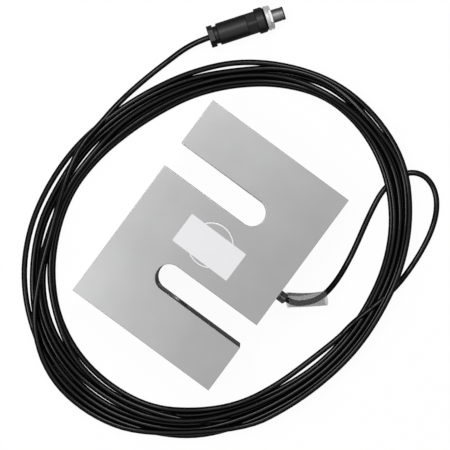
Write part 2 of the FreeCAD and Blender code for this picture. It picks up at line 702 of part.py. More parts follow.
def on_axis(along, sideways=0.0, up=0.0):
    """A point given in the plug's own frame."""
    heading = Rotation(Vector(0, 0, 1), value("plug_heading"))
    rear = Vector(value("plug_rear_x"), value("plug_rear_y"), value("collar_diameter / 2"))
    return rear + heading.multVec(Vector(along, sideways, up))


def make_rear_nut():
    thread = "stub_diameter / 2 + nut_clearance"
    nut = turned("plug_rear_nut", (
        ("0", "cable_hole / 2"), ("0", "rear_nut_corner / 2"),
        ("rear_nut_length", "rear_nut_corner / 2"), ("rear_nut_length", thread),
        ("rear_nut_wall", thread), ("rear_nut_wall", "cable_hole / 2"),
    ))
    mill_flats(nut, "0", "rear_nut_length", "rear_nut_across", "rear_nut_corner")
    put_on_plug(nut)


def make_cable_seal():
    put_on_plug(turned("plug_seal", ring_profile(
        "rear_nut_wall", "seal_length", "cable_diameter", "seal_diameter")))
    put_on_plug(turned("plug_clamp", ring_profile(
        "(rear_nut_wall + seal_length)", "clamp_length", "cable_hole", "seal_diameter")))


def make_housing():
    stub_start = "rear_nut_wall + nut_clearance"
    neck_start = "rear_nut_length + nut_clearance"
    shoulder = "rear_nut_wall + seal_length + clamp_length"
    put_on_plug(turned("plug_housing", (
        (stub_start, "seal_diameter / 2"), (stub_start, "stub_diameter / 2"),
        (neck_start, "stub_diameter / 2"), (neck_start, "housing_neck / 2"),
        ("housing_start", "housing_neck / 2"), ("housing_start", "housing_diameter / 2 - housing_edge"),
        ("housing_start + housing_edge", "housing_diameter / 2"),
        ("housing_end", "housing_diameter / 2"), ("housing_end", "chamber_diameter / 2"),
        (f"{shoulder} + shoulder_length", "chamber_diameter / 2"),
        (f"{shoulder} + shoulder_length", "cable_hole / 2"),
        (shoulder, "cable_hole / 2"), (shoulder, "seal_diameter / 2"),
    )))


def make_front_body():
    """Spigot, wrench hexagon, collar and hub in one moulding, bored for the barrel."""
    spigot = "chamber_diameter / 2 - spigot_clearance"
    spigot_start = "housing_end - spigot_length"
    groove_end = "housing_end - oring_setback"
    groove = f"{spigot} - oring_depth"
    snap_start = "collar_end + 2 * coupling_float + coupling_web"
    snap_floor = "hub_diameter / 2 - snap_depth"
    counterbore = "barrel_foot / 2 + foot_clearance"
    front = turned("plug_front_body", (
        (spigot_start, counterbore), (spigot_start, spigot),
        (f"{groove_end} - oring_width", spigot), (f"{groove_end} - oring_width", groove),
        (groove_end, groove), (groove_end, spigot),
        ("housing_end", spigot), ("housing_end", "wrench_corner / 2"),
        ("collar_start", "wrench_corner / 2"), ("collar_start", "collar_diameter / 2"),
        ("collar_end - collar_round", "collar_diameter / 2"),
        ("collar_end", "collar_diameter / 2 - collar_round"), ("collar_end", "hub_diameter / 2"),
        (snap_start, "hub_diameter / 2"), (snap_start, snap_floor),
        (f"{snap_start} + snap_width", snap_floor),
        (f"{snap_start} + snap_width", "hub_diameter / 2"),
        ("collar_end + hub_length", "hub_diameter / 2"),
        ("collar_end + hub_length", "barrel_shank / 2"),
        ("foot_seat", "barrel_shank / 2"), ("foot_seat", counterbore),
    ))
    mill_flats(front, "housing_end", "collar_start - housing_end", "wrench_across",
               "wrench_corner", turn="wrench_turn")
    put_on_plug(front)

    put_on_plug(turned("housing_oring", ring_profile(
        f"{groove_end} - oring_width", "oring_width",
        f"2 * ({groove})", "chamber_diameter")))
    put_on_plug(turned("ring_retainer", ring_profile(
        f"({snap_start})", "snap_width", f"2 * ({snap_floor})", "snap_diameter")))


def make_coupling_ring():
    """A cup with a flange, a groove and a chamfered hexagon, which turns on the hub."""
    start = "collar_end + coupling_float"
    flange_end = f"{start} + flange_width"
    grip_start = f"{flange_end} + groove_width"
    grip_end = f"{grip_start} + grip_width"
    hub = "hub_diameter / 2 + coupling_clearance"
    ring = turned("coupling_ring", (
        (start, hub), (start, "flange_diameter / 2"),
        (flange_end, "flange_diameter / 2"), (flange_end, "groove_diameter / 2"),
        (grip_start, "groove_diameter / 2"), (f"{grip_start} + grip_chamfer / 2", "grip_corner / 2"),
        (f"{grip_end} - grip_chamfer", "grip_corner / 2"), (grip_end, "grip_across / 2"),
        (grip_end, "coupling_bore / 2"), (f"{start} + coupling_web", "coupling_bore / 2"),
        (f"{start} + coupling_web", hub),
    ))
    mill_flats(ring, grip_start, "grip_width", "grip_across", "grip_corner")
    put_on_plug(ring)


def make_barrel():
    foot_start = "foot_seat - foot_length"
    hub_face = "collar_end + hub_length"
    band_end = "barrel_end - band_setback"
    put_on_plug(turned("plug_barrel", (
        (foot_start, "barrel_bore / 2"), (foot_start, "barrel_foot / 2"),
        ("foot_seat", "barrel_foot / 2"), ("foot_seat", "barrel_shank / 2"),
        (hub_face, "barrel_shank / 2"), (hub_face, "barrel_diameter / 2"),
        (f"{band_end} - band_width", "barrel_diameter / 2"),
        (f"{band_end} - band_width", "band_diameter / 2"),
        (band_end, "band_diameter / 2"), (band_end, "barrel_diameter / 2"),
        ("barrel_end", "barrel_diameter / 2"), ("barrel_end", "barrel_bore / 2"),
    )))
    put_on_plug(turned("barrel_tip_ring", ring_profile(
        "barrel_end", "tip_length", "barrel_bore", "barrel_diameter")))


def pin_spots():
    """Where the pins stand round the plug's axis: one per core, and one in the middle."""
    reach = value("pin_circle / 2")
    step = 2 * math.pi / CORES
    return [(reach * math.cos(step * (k + 0.5)), reach * math.sin(step * (k + 0.5)))
            for k in range(CORES)] + [(0.0, 0.0)]


def make_contacts():
    """Pins through a moulded insert."""
    along = Rotation(Vector(0, 0, 1), value("plug_heading")) * Rotation(Vector(0, 1, 0), 90)
    pins = []
    for number, (sideways, up) in enumerate(pin_spots()):
        contact = rod(f"contact_pin_{number}", "pin_diameter",
                      "insert_end + pin_nose - insert_start + pin_tail")
        contact.Placement = Placement(
            on_axis(value("insert_start - pin_tail"), sideways, up), along)
        pins.append(contact)
    contacts = group("contact_pins", pins)
    blank = rod("contact_insert_blank", "barrel_bore", "insert_end - insert_start")
    blank.Placement = Placement(on_axis(value("insert_start")), along)
    keep(cut("contact_insert_cut", blank, contacts), "contact_insert")


def make_plug_cores():
    """The four cores fan out from the jacket's end to their pins."""
    jacket = value("jacket_end")
    tail = value("insert_start - pin_tail")
    cores = []
    for number, (sideways, up) in enumerate(pin_spots()[:CORES]):
        near = value("core_pitch") / math.sqrt(2) / value("pin_circle / 2")
        points = [on_axis(jacket, sideways * near, up * near),
                  on_axis(jacket + 3.0, sideways * near, up * near),
                  on_axis(tail - 4.0, sideways, up), on_axis(tail, sideways, up)]
        cores.append(tube(f"plug_core_{number}", points, "core_diameter"))
    group("plug_cores", cores)


# ---------------------------------------------------------------- the cable

def make_cable():
    mid = value("body_thickness / 2")
    jacket_start = Vector(value("body_width / 2 - cable_inset"), 0, mid)
    first_bend = Vector(value("body_width / 2 + first_bend"), 0, mid)
    lead = [jacket_start, first_bend] + [Vector(*spot) for spot in LEAD_ROUTE]
    loop = [Vector(*spot) for spot in LOOP_ROUTE]
    tail = [Vector(*spot) for spot in TAIL_ROUTE]
    tail += [on_axis(value("-last_bend")), on_axis(value("jacket_end"))]
    for label, points in (("cable_lead", lead), ("cable_loop", loop), ("cable_tail", tail)):
        keep(tube(f"Tube_{label}", points, "cable_diameter"), label)


def coil_prism(name, ring):
    """A prism over the closed curve through one radius (0 inner, 1 outer) at each station."""
    spots = []
    for step, station in enumerate(COIL_STATIONS):
        angle = math.radians(FULL_TURN * step / len(COIL_STATIONS))
        spots.append(Vector(value("coil_centre_x") + station[ring] * math.cos(angle),
                            value("coil_centre_y") + station[ring] * math.sin(angle), 0))
    curve = Part.BSplineCurve()
    curve.interpolate(spots, PeriodicFlag=True)
    base = doc.addObject("Part::Feature", f"{name}_curve")
    base.Shape = Part.Wire(curve.toShape())
    prism = doc.addObject("Part::Extrusion", name)
    prism.Base = base
    prism.DirMode = "Custom"
    prism.Dir = Vector(0, 0, 1)
    prism.Solid = True
    bind(prism, "LengthFwd", "coil_height")
    return prism


def make_coil():
    """One solid of the coil's outer shape, with its long edges taken off."""
    band = cut("coil_band", coil_prism("coil_outside", 1), coil_prism("coil_inside", 0))
    doc.recompute()
    size = value("coil_chamfer")
    coil = doc.addObject("Part::Chamfer", "coil_chamfered")
    coil.Base = band
    coil.Edges = [(k, size, size) for k, edge in enumerate(band.Shape.Edges, start=1)
                  if edge.BoundBox.ZLength < size]
    keep(coil, "cable_coil")


# ---------------------------------------------------------------- checking and writing

def check():
    doc.recompute()
    for item in doc.Objects:
        if {"Invalid", "Error"} & set(item.State):
            raise RuntimeError(f"{item.Label} failed: {item.State}")
    for piece in pieces:
        shape = piece.Shape
        if shape.isNull() or not shape.isValid() or not shape.Solids:
            raise RuntimeError(f"{piece.Label} has no valid solid")


def write():
    os.makedirs("parts", exist_ok=True)
    for piece in pieces:
        piece.Shape.exportStep(f"parts/{piece.Label}.step")
        box_now = piece.Shape.BoundBox
        print(f"{piece.Label}: {len(piece.Shape.Solids)} solid(s), "
              f"{piece.Shape.Volume:.1f} mm3, x {box_now.XMin:.2f} to {box_now.XMax:.2f}, "
              f"y {box_now.YMin:.2f} to {box_now.YMax:.2f}, z {box_now.ZMin:.2f} to {box_now.ZMax:.2f}")


fill_sheet()
make_block()
make_covers()
make_sealants()
make_gauges()
make_board()
make_signal_cores()
make_label()
make_gland()
make_sleeve()
make_rear_nut()
make_cable_seal()
make_housing()
make_front_body()
make_coupling_ring()
make_barrel()
make_contacts()
make_plug_cores()
make_cable()
make_coil()
check()
write()
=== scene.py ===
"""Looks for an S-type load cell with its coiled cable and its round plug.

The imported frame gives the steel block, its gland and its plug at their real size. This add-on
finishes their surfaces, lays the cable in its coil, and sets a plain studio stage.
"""

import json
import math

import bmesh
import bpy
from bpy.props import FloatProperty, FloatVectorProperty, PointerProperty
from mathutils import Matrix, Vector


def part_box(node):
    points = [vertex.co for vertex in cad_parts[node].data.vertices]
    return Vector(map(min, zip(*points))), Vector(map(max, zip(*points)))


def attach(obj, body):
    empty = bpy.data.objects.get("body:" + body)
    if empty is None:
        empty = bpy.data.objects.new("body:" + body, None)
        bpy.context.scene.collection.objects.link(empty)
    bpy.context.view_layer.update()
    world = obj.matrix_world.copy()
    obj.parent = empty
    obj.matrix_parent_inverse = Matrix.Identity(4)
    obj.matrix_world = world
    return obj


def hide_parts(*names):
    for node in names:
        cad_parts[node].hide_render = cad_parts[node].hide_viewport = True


bl_info = {
    "name": "S-type load cell",
    "version": (1, 0, 0),
    "blender": (4, 5, 0),
    "location": "View3D > Sidebar > Load Cell",
    "description": "Finishes an S-type load cell with its coiled cable and its round plug",
    "category": "Object",
}

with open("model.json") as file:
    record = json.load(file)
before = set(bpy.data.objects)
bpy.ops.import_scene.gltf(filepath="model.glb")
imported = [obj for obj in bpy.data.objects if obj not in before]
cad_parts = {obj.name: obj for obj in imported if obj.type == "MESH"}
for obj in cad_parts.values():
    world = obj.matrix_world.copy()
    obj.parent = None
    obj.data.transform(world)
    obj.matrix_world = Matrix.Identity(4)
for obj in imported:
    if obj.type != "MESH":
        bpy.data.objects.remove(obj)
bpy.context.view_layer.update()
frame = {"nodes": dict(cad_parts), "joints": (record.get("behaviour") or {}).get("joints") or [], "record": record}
NODES = frame["nodes"]
MM = 0.001
ROOT = "cell"  # the body that stands still
COUPLING = "coupling"  # the body of the turning ring
MERGE = 0.002 * MM  # corners nearer to each other than this are one
FLAT = math.radians(0.3)  # faces that turn by less than this are one

BLOCK_LOW, BLOCK_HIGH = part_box("load_cell_body")
SIDE_FACE = BLOCK_HIGH.x
MID_HEIGHT = (BLOCK_LOW.z + BLOCK_HIGH.z) / 2
PLUG_TURN = next(joint for joint in frame["joints"] if joint["name"] == "coupling_ring_turn")
PLUG_AXIS = Vector(PLUG_TURN["axis"]).normalized()
PLUG_POINT = Vector(PLUG_TURN["pos_m"])
PLUG_HEADING = math.atan2(PLUG_AXIS.y, PLUG_AXIS.x)

# ------------------------------------------------------------------ the cable's route, in mm
# It leaves the gland, falls to the floor, runs out under the coil, and comes back over it.
LEAD_ROUTE = (
    (62.7, 0.0, 25.4), (75.3, 0.0, 25.4),
    (84.6, 6.6, 21.4), (91.4, 15.6, 17.8), (94.0, 26.5, 13.0), (94.4, 39.5, 7.6),
    (93.0, 53.0, 3.7), (90.6, 66.5, 2.25), (87.2, 81.0, 2.25), (84.2, 95.5, 2.25),
    (82.2, 109.0, 2.25), (82.9, 119.5, 2.25),
)
LOOP_ROUTE = (
    (86.3, 130.5, 2.25), (90.6, 136.5, 2.25), (96.8, 140.2, 2.25), (104.2, 141.0, 2.25),
    (112.6, 138.2, 2.25), (120.8, 131.4, 2.25), (127.6, 120.6, 2.25), (132.2, 106.4, 2.25),
    (134.6, 90.4, 2.25), (135.4, 74.4, 3.2), (134.6, 61.4, 7.6), (132.5, 48.4, 11.9),
    (129.1, 35.2, 11.7), (125.9, 23.0, 8.4), (123.7, 11.6, 5.0),
)
TAIL_ROUTE = (
    (-125.2, 24.0, 8.2), (-124.6, 36.5, 5.6), (-123.0, 50.5, 2.8), (-119.8, 66.5, 2.25),
    (-116.0, 81.6, 2.25), (-111.8, 95.8, 3.4), (-107.5, 109.4, 6.5),
    (-100.77, 122.51, 10.0), (-92.06, 134.72, 10.0),
)

# The coil: radii about its centre of the lanes in which its turns lie, the innermost lane first,
# one row every STEP degrees anticlockwise from +X. LAY_ORDER gives the lanes of the turns as they
# are laid down.
COIL_CENTRE = (3.5, 1.1)
STEP = 15
COIL_LANES = (
    (122.3, 124.2, 126.2, 128.1, 130.0, 131.8, 133.5),
    (125.6, 127.4, 129.3, 131.1, 132.9, 134.7, 136.4),
    (131.7, 133.5, 135.5, 137.5, 139.5, 141.5, 143.4),
    (138.0, 139.9, 142.0, 144.2, 146.4, 148.7, 151.1),
    (142.6, 144.4, 147.0, 150.0, 153.0, 156.4, 158.4),
    (145.1, 146.3, 147.8, 149.6, 151.4, 152.6, 158.7),
    (143.8, 144.3, 144.9, 145.4, 152.7, 154.2, 156.4),
    (134.9, 136.6, 138.6, 141.1, 144.1, 148.0, 149.7),
    (125.4, 127.6, 130.0, 132.4, 134.4, 136.2, 143.4),
    (118.4, 120.7, 123.0, 125.5, 128.2, 131.0, 135.4),
    (112.6, 115.5, 118.3, 121.2, 124.2, 127.2, 129.9),
    (111.4, 113.9, 116.6, 119.9, 122.6, 126.3, 129.1),
    (114.4, 115.9, 117.3, 118.6, 125.5, 127.6, 132.8),
    (119.6, 120.9, 122.1, 123.3, 127.9, 130.8, 137.6),
    (123.7, 125.1, 126.5, 128.0, 135.9, 138.3, 144.8),
    (129.0, 130.7, 136.9, 139.2, 141.9, 144.2, 151.4),
    (134.2, 135.2, 142.8, 145.7, 148.9, 152.3, 155.8),
    (136.4, 140.8, 143.6, 147.0, 151.2, 155.6, 160.0),
    (136.1, 140.6, 143.0, 144.7, 150.8, 154.4, 158.4),
    (134.7, 135.8, 140.2, 143.8, 146.8, 150.2, 153.8),
    (128.4, 131.0, 137.2, 141.6, 142.6, 145.6, 151.4),
    (124.8, 127.4, 130.2, 134.0, 136.8, 138.6, 142.4),
    (121.5, 124.2, 126.7, 129.0, 131.2, 133.3, 135.4),
    (121.2, 123.2, 125.3, 127.2, 129.0, 130.8, 132.4),
)
LAY_ORDER = (0, 2, 4, 1, 3, 5, 6)
# The cable joins its coil at this bearing, and runs clockwise in it. Each turn moves to its next
# lane within CHANGE degrees on both sides of it. The cable leads in to its first turn and out of
# its last at these radii, one every STEP degrees.
JOIN_BEARING = 300
CHANGE = 30
LEAD_IN = (118.3, 114.1, 117.0, 123.3)
LEAD_OUT = (155.8, 162.2, 164.0, 154.4, 137.0, 126.2, 125.8, 129.8)
PACKING = 0.93  # strands that touch lie this share of a diameter apart
LIFT = 4.5  # how far the coil rises over the lead
LIFT_REACH = 26.0  # how far from the lead it starts to rise
EASINGS = 2  # how often a dip in a strand is raised towards its neighbours along the cable


# ------------------------------------------------------------------ settings

class BlockSettings(bpy.types.PropertyGroup):
    steel: FloatVectorProperty(name="Plate", description="Colour of the satin nickel plate",
                               subtype="COLOR", default=(0.312, 0.312, 0.315))
    # Painted shade: the -Y slot's walls are near black to show the shade that falls inside that slot.
    slot_steel_painted_shade: FloatVectorProperty(name="Slot walls", description="Colour of the dark slot's walls",
                                   subtype="COLOR", default=(0.008, 0.008, 0.0083))
    label: FloatVectorProperty(name="Label", description="Colour of the film label",
                               subtype="COLOR", default=(0.72, 0.72, 0.735))
    edge: FloatProperty(name="Edge", description="Rounding of the machined edges",
                        default=0.10 * MM, subtype="DISTANCE")
    label_edge: FloatProperty(name="Label edge", description="Rounding of the label's edges",
                              default=0.04 * MM, subtype="DISTANCE")
    thread_pitch: FloatProperty(name="Pitch", description="Pitch of the loading threads",
                                default=2.0 * MM, subtype="DISTANCE")
    thread_depth: FloatProperty(name="Depth", description="Depth of the loading threads",
                                default=1.08 * MM, subtype="DISTANCE")


class CableSettings(bpy.types.PropertyGroup):
    diameter: FloatProperty(name="Diameter", description="Diameter of the jacket",
                            default=4.5 * MM, subtype="DISTANCE")
    length: FloatProperty(name="Length", description="Length of the cable from gland to plug",
                          default=6.94, subtype="DISTANCE")
    jacket: FloatVectorProperty(name="Jacket", description="Colour of the jacket",
                                subtype="COLOR", default=(0.0016, 0.0016, 0.0017))
    film: FloatVectorProperty(name="Film", description="Colour of the clear sleeve",
                              subtype="COLOR", default=(0.12, 0.12, 0.12))
    film_wall: FloatProperty(name="Film wall", description="Thickness of the clear sleeve",
                             default=0.25 * MM, subtype="DISTANCE")
    gland: FloatVectorProperty(name="Gland", description="Colour of the blackened gland",
                               subtype="COLOR", default=(0.042, 0.042, 0.044))
    gland_edge: FloatProperty(name="Gland edge", description="Rounding of the gland's edges",
                              default=0.5 * MM, subtype="DISTANCE")


class PlugSettings(bpy.types.PropertyGroup):
    moulding: FloatVectorProperty(name="Moulding", description="Colour of the black moulding",
                                  subtype="COLOR", default=(0.006, 0.006, 0.0063))
    ring: FloatVectorProperty(name="Ring", description="Colour of the plated coupling ring",
                              subtype="COLOR", default=(0.44, 0.44, 0.44))
    barrel: FloatVectorProperty(name="Barrel", description="Colour of the metal barrel",
                                subtype="COLOR", default=(0.035, 0.035, 0.035))
    edge: FloatProperty(name="Edge", description="Rounding of the moulded edges",
                        default=0.35 * MM, subtype="DISTANCE")
    ring_edge: FloatProperty(name="Ring edge", description="Rounding of the ring's edges",
                             default=0.15 * MM, subtype="DISTANCE")
    barrel_edge: FloatProperty(name="Barrel edge", description="Rounding of the barrel's edges",
                               default=0.12 * MM, subtype="DISTANCE")


class StageSettings(bpy.types.PropertyGroup):
    camera_height: FloatProperty(name="Camera", description="Height of the camera",
                                 default=1.405, subtype="DISTANCE")
    frame_width: FloatProperty(name="Width", description="Width of the floor in the picture",
                               default=0.351, subtype="DISTANCE")
    bearing: FloatProperty(name="Bearing", description="Turn of the picture from +X",
                           default=math.radians(36.41), subtype="ANGLE")
    eye: FloatVectorProperty(name="Eye", description="Point of the floor below the camera",
                             subtype="XYZ_LENGTH", size=2, default=(12.0 * MM, 34.0 * MM))
    shift: FloatVectorProperty(name="Shift", description="Sideways shift of the picture",
                               size=2, default=(-0.0564, -0.0147))
    world: FloatProperty(name="World", description="Strength of the surrounding light",
                         default=0.42, min=0.0)
    lamp: FloatProperty(name="Lamps", description="Power of each of the three soft lamps",
                        default=5.0, min=0.0)


# ------------------------------------------------------------------ shader groups

MARK_STRETCH = 60.0  # how much longer a turning mark is than it is wide
NOISE_LOW, NOISE_HIGH = 0.3, 0.7  # a noise seldom leaves this range


def shader_group(name, inputs, outputs):
    """An empty group with number sockets, its entry and its exit."""
    group = bpy.data.node_groups.new(name, "ShaderNodeTree")
    for title, default in inputs:
        socket = group.interface.new_socket(title, in_out="INPUT", socket_type="NodeSocketFloat")
        socket.default_value = default
    for title in outputs:
        group.interface.new_socket(title, in_out="OUTPUT", socket_type="NodeSocketFloat")
    entry = group.nodes.new("NodeGroupInput")
    leave = group.nodes.new("NodeGroupOutput")
    return group, entry, leave


def maths(tree, operation, first, second):
    """A Math node, whose operands are sockets or numbers; returns its output."""
    node = tree.nodes.new("ShaderNodeMath")
    node.operation = operation
    for socket, operand in zip(node.inputs, (first, second)):
        if isinstance(operand, bpy.types.NodeSocket):
            tree.links.new(operand, socket)
        else:
            socket.default_value = operand
    return node.outputs[0]


def noise(tree, vector, scale, detail, roughness):
    """A Noise node, whose scale is a socket; returns its output."""
    node = tree.nodes.new("ShaderNodeTexNoise")
    node.inputs["Detail"].default_value = detail
    node.inputs["Roughness"].default_value = roughness
    tree.links.new(vector, node.inputs["Vector"])
    tree.links.new(scale, node.inputs["Scale"])
    return node.outputs["Fac"]


def grain_group():
    """Fine even grain, and slow clouds over it."""
    group, entry, leave = shader_group(
        "surface_grain", (("Grain Scale", 3000.0), ("Cloud Scale", 25.0)), ("Grain", "Cloud"))
    place = group.nodes.new("ShaderNodeTexCoord").outputs["Object"]
    grain = noise(group, place, entry.outputs["Grain Scale"], detail=3.0, roughness=0.6)
    cloud = noise(group, place, entry.outputs["Cloud Scale"], detail=4.0, roughness=0.55)
    group.links.new(grain, leave.inputs["Grain"])
    group.links.new(cloud, leave.inputs["Cloud"])
    return group


def lathe_group():
    """Fine turning marks round the plug's axis."""
    group, entry, leave = shader_group("turning_marks", (("Lines", 9000.0),), ("Lines",))
    place = group.nodes.new("ShaderNodeTexCoord").outputs["Object"]
    turn = group.nodes.new("ShaderNodeMapping")
    turn.vector_type = "TEXTURE"
    turn.inputs["Location"].default_value = PLUG_POINT
    turn.inputs["Rotation"].default_value = (0.0, 0.0, PLUG_HEADING)
    turn.inputs["Scale"].default_value = (1.0, MARK_STRETCH, MARK_STRETCH)
    group.links.new(place, turn.inputs["Vector"])
    lines = noise(group, turn.outputs["Vector"], entry.outputs["Lines"],
                  detail=2.0, roughness=0.6)
    group.links.new(lines, leave.inputs["Lines"])
    return group


def dust_group():
    """Sparse specks."""
    group, entry, leave = shader_group(
        "dust", (("Scale", 900.0), ("Share", 0.28)), ("Mask",))
    place = group.nodes.new("ShaderNodeTexCoord").outputs["Object"]
    specks = noise(group, place, entry.outputs["Scale"], detail=1.0, roughness=0.4)
    mask = maths(group, "LESS_THAN", specks, entry.outputs["Share"])
    group.links.new(mask, leave.inputs["Mask"])
    return group


# ------------------------------------------------------------------ materials

def principled(material):
    return material.node_tree.nodes["Principled BSDF"]


def finish(name, colour, roughness, metallic=0.0, **sockets):
    """A Principled material with plain values."""
    material = bpy.data.materials.new(name)
    material.use_nodes = True
    shader = principled(material)
    shader.inputs["Base Color"].default_value = (*colour, 1.0)
    shader.inputs["Roughness"].default_value = roughness
    shader.inputs["Metallic"].default_value = metallic
    for title, number in sockets.items():
        shader.inputs[title.replace("_", " ")].default_value = number
    return material


def use_group(material, group, **numbers):
    """A shader group with its own numbers in a material."""
    node = material.node_tree.nodes.new("ShaderNodeGroup")
    node.node_tree = bpy.data.node_groups[group]
    for title, number in numbers.items():
        node.inputs[title.replace("_", " ")].default_value = number
    return node


def vary_roughness(material, noisy, low, high):
    """Lets the roughness follow a noise from low to high."""
    tree = material.node_tree
    node = tree.nodes.new("ShaderNodeMapRange")
    node.inputs["From Min"].default_value = NOISE_LOW
    node.inputs["From Max"].default_value = NOISE_HIGH
    node.inputs["To Min"].default_value = low
    node.inputs["To Max"].default_value = high
    tree.links.new(noisy, node.inputs["Value"])
    tree.links.new(node.outputs["Result"], principled(material).inputs["Roughness"])


def bump(material, height, distance, strength):
    """Feeds the shader's normal from a height."""
    tree = material.node_tree
    node = tree.nodes.new("ShaderNodeBump")
    node.inputs["Distance"].default_value = distance
    node.inputs["Strength"].default_value = strength
    tree.links.new(height, node.inputs["Height"])
    tree.links.new(node.outputs["Normal"], principled(material).inputs["Normal"])


def tint(material, mask, dark, light):
    """Mixes two colours by a mask into the base colour."""
    tree = material.node_tree
    node = tree.nodes.new("ShaderNodeMix")
    node.data_type = "RGBA"
    node.inputs["A"].default_value = (*dark, 1.0)
    node.inputs["B"].default_value = (*light, 1.0)
    tree.links.new(mask, node.inputs["Factor"])
    tree.links.new(node.outputs["Result"], principled(material).inputs["Base Color"])


def gloss(material, ior, roughness, reach):
    """A clear coat that fades as the surface turns aside, and is gone beyond reach degrees."""
    tree = material.node_tree
    shader = principled(material)
    shader.inputs["Coat IOR"].default_value = ior
    shader.inputs["Coat Roughness"].default_value = roughness
    facing = tree.nodes.new("ShaderNodeLayerWeight")
    facing.inputs["Blend"].default_value = 0.5
    fade = tree.nodes.new("ShaderNodeMapRange")
    fade.interpolation_type = "SMOOTHSTEP"
    fade.inputs["From Min"].default_value = 0.0
    fade.inputs["From Max"].default_value = 1 - math.cos(math.radians(reach))
    fade.inputs["To Min"].default_value = 1.0
    fade.inputs["To Max"].default_value = 0.0
    tree.links.new(facing.outputs["Facing"], fade.inputs["Value"])
    tree.links.new(fade.outputs["Result"], shader.inputs["Coat Weight"])


def shade(colour, share):
    """A colour times a share, no brighter than white."""
    return tuple(min(1.0, channel * share) for channel in colour)


def steel_finish(colour):
    """Satin nickel plate over ground steel, slightly cloudy."""
    material = finish("satin_nickel", colour, roughness=0.28, metallic=1.0)
    grain = use_group(material, "surface_grain", Grain_Scale=2600.0, Cloud_Scale=28.0)
    vary_roughness(material, grain.outputs["Cloud"], low=0.27, high=0.29)
    tint(material, grain.outputs["Cloud"], shade(colour, 0.98), shade(colour, 1.02))
    bump(material, grain.outputs["Grain"], distance=0.004 * MM, strength=0.35)
    return material


def painted_shade_wall_finish(colour):
    """Walls of the slot on the -Y side: painted shade, near black and dull, and finely rippled."""
    material = finish("slot_steel_painted_shade", colour, roughness=0.7, Specular_IOR_Level=0.1)
    grain = use_group(material, "surface_grain", Grain_Scale=1800.0, Cloud_Scale=60.0)
    tint(material, grain.outputs["Cloud"], shade(colour, 0.5), shade(colour, 1.6))
    bump(material, grain.outputs["Grain"], distance=0.01 * MM, strength=0.5)
    return material


def painted_light_wall_finish(colour):
    """Walls of the slot on the +Y side: painted light, paler than the other's."""
    material = finish("slot_steel_painted_light", colour, roughness=0.6, metallic=1.0)
    grain = use_group(material, "surface_grain", Grain_Scale=1800.0, Cloud_Scale=20.0)
    tint(material, grain.outputs["Cloud"], shade(colour, 0.9), shade(colour, 1.1))
    bump(material, grain.outputs["Grain"], distance=0.004 * MM, strength=0.3)
    return material


def rim_highlight_finish():
    """Turned rim of the cover disc, its colour lightened to almost twice the plate's as a painted highlight."""
    material = finish("rim_painted_highlight", (0.56, 0.56, 0.56), roughness=0.26, metallic=1.0)
    grain = use_group(material, "surface_grain", Grain_Scale=3000.0, Cloud_Scale=90.0)
    vary_roughness(material, grain.outputs["Cloud"], low=0.24, high=0.3)
    return material


def label_finish(colour):
    """Silvery film, blank, with a faint waviness."""
    material = finish("label_film", colour, roughness=0.42, Coat_Weight=0.25,
                      Coat_Roughness=0.25)
    grain = use_group(material, "surface_grain", Grain_Scale=1400.0, Cloud_Scale=45.0)
    tint(material, grain.outputs["Cloud"], shade(colour, 0.97), shade(colour, 1.03))
    bump(material, grain.outputs["Cloud"], distance=0.03 * MM, strength=0.4)
    return material


def gland_finish(colour):
    """Blackened metal with a hard gloss on what faces up."""
    material = finish("blackened_metal", colour, roughness=0.24, metallic=0.9)
    grain = use_group(material, "surface_grain", Grain_Scale=3500.0, Cloud_Scale=300.0)
    vary_roughness(material, grain.outputs["Cloud"], low=0.2, high=0.28)
    bump(material, grain.outputs["Grain"], distance=0.01 * MM, strength=0.3)
    gloss(material, ior=2.6, roughness=0.2, reach=24.0)
    return material


def rubber_finish():
    """Black rubber of the seals."""
    material = finish("seal_rubber", (0.012, 0.012, 0.012), roughness=0.7)
    grain = use_group(material, "surface_grain", Grain_Scale=4000.0, Cloud_Scale=200.0)
    bump(material, grain.outputs["Grain"], distance=0.01 * MM, strength=0.5)
    return material


def film_finish(colour):
    """Clear film with a grey cast and a wet gloss."""
    material = finish("clear_film", colour, roughness=0.16, Alpha=0.3, Specular_IOR_Level=0.35)
    grain = use_group(material, "surface_grain", Grain_Scale=900.0, Cloud_Scale=160.0)
    bump(material, grain.outputs["Cloud"], distance=0.25 * MM, strength=0.5)
    return material


def jacket_finish(colour):
    """Glossy black jacket with the faint waviness of an extrusion."""
    material = finish("cable_jacket", colour, roughness=0.4, Specular_IOR_Level=0.02)
    gloss(material, ior=1.33, roughness=0.1, reach=30.0)
    grain = use_group(material, "surface_grain", Grain_Scale=1500.0, Cloud_Scale=140.0)
    vary_roughness(material, grain.outputs["Cloud"], low=0.35, high=0.45)
    bump(material, grain.outputs["Cloud"], distance=0.02 * MM, strength=0.15)
    return material


def moulding_finish(colour):
    """Black moulding with a fine spark-eroded grain."""
    material = finish("black_moulding", colour, roughness=0.6, Specular_IOR_Level=0.05)
    gloss(material, ior=1.36, roughness=0.4, reach=50.0)
    grain = use_group(material, "surface_grain", Grain_Scale=2600.0, Cloud_Scale=180.0)
    dust = use_group(material, "dust", Scale=1500.0, Share=0.26)
    vary_roughness(material, grain.outputs["Cloud"], low=0.55, high=0.65)
    tint(material, dust.outputs["Mask"], colour, shade(colour, 2.2))
    bump(material, grain.outputs["Grain"], distance=0.02 * MM, strength=0.6)
    return material


def turned_finish(name, colour, roughness):
    """Turned and plated metal."""
    material = finish(name, colour, roughness, metallic=1.0)
    marks = use_group(material, "turning_marks", Lines=4000.0)
    vary_roughness(material, marks.outputs["Lines"], low=roughness * 0.8, high=roughness * 1.3)
    bump(material, marks.outputs["Lines"], distance=0.003 * MM, strength=0.2)
    return material


def plain_finish(name, colour, roughness, metallic=0.0):
    """Small inner pieces: an even colour with a light grain."""
    material = finish(name, colour, roughness, metallic)
    grain = use_group(material, "surface_grain", Grain_Scale=2500.0, Cloud_Scale=250.0)
    vary_roughness(material, grain.outputs["Cloud"], low=roughness * 0.85, high=roughness * 1.2)
    return material


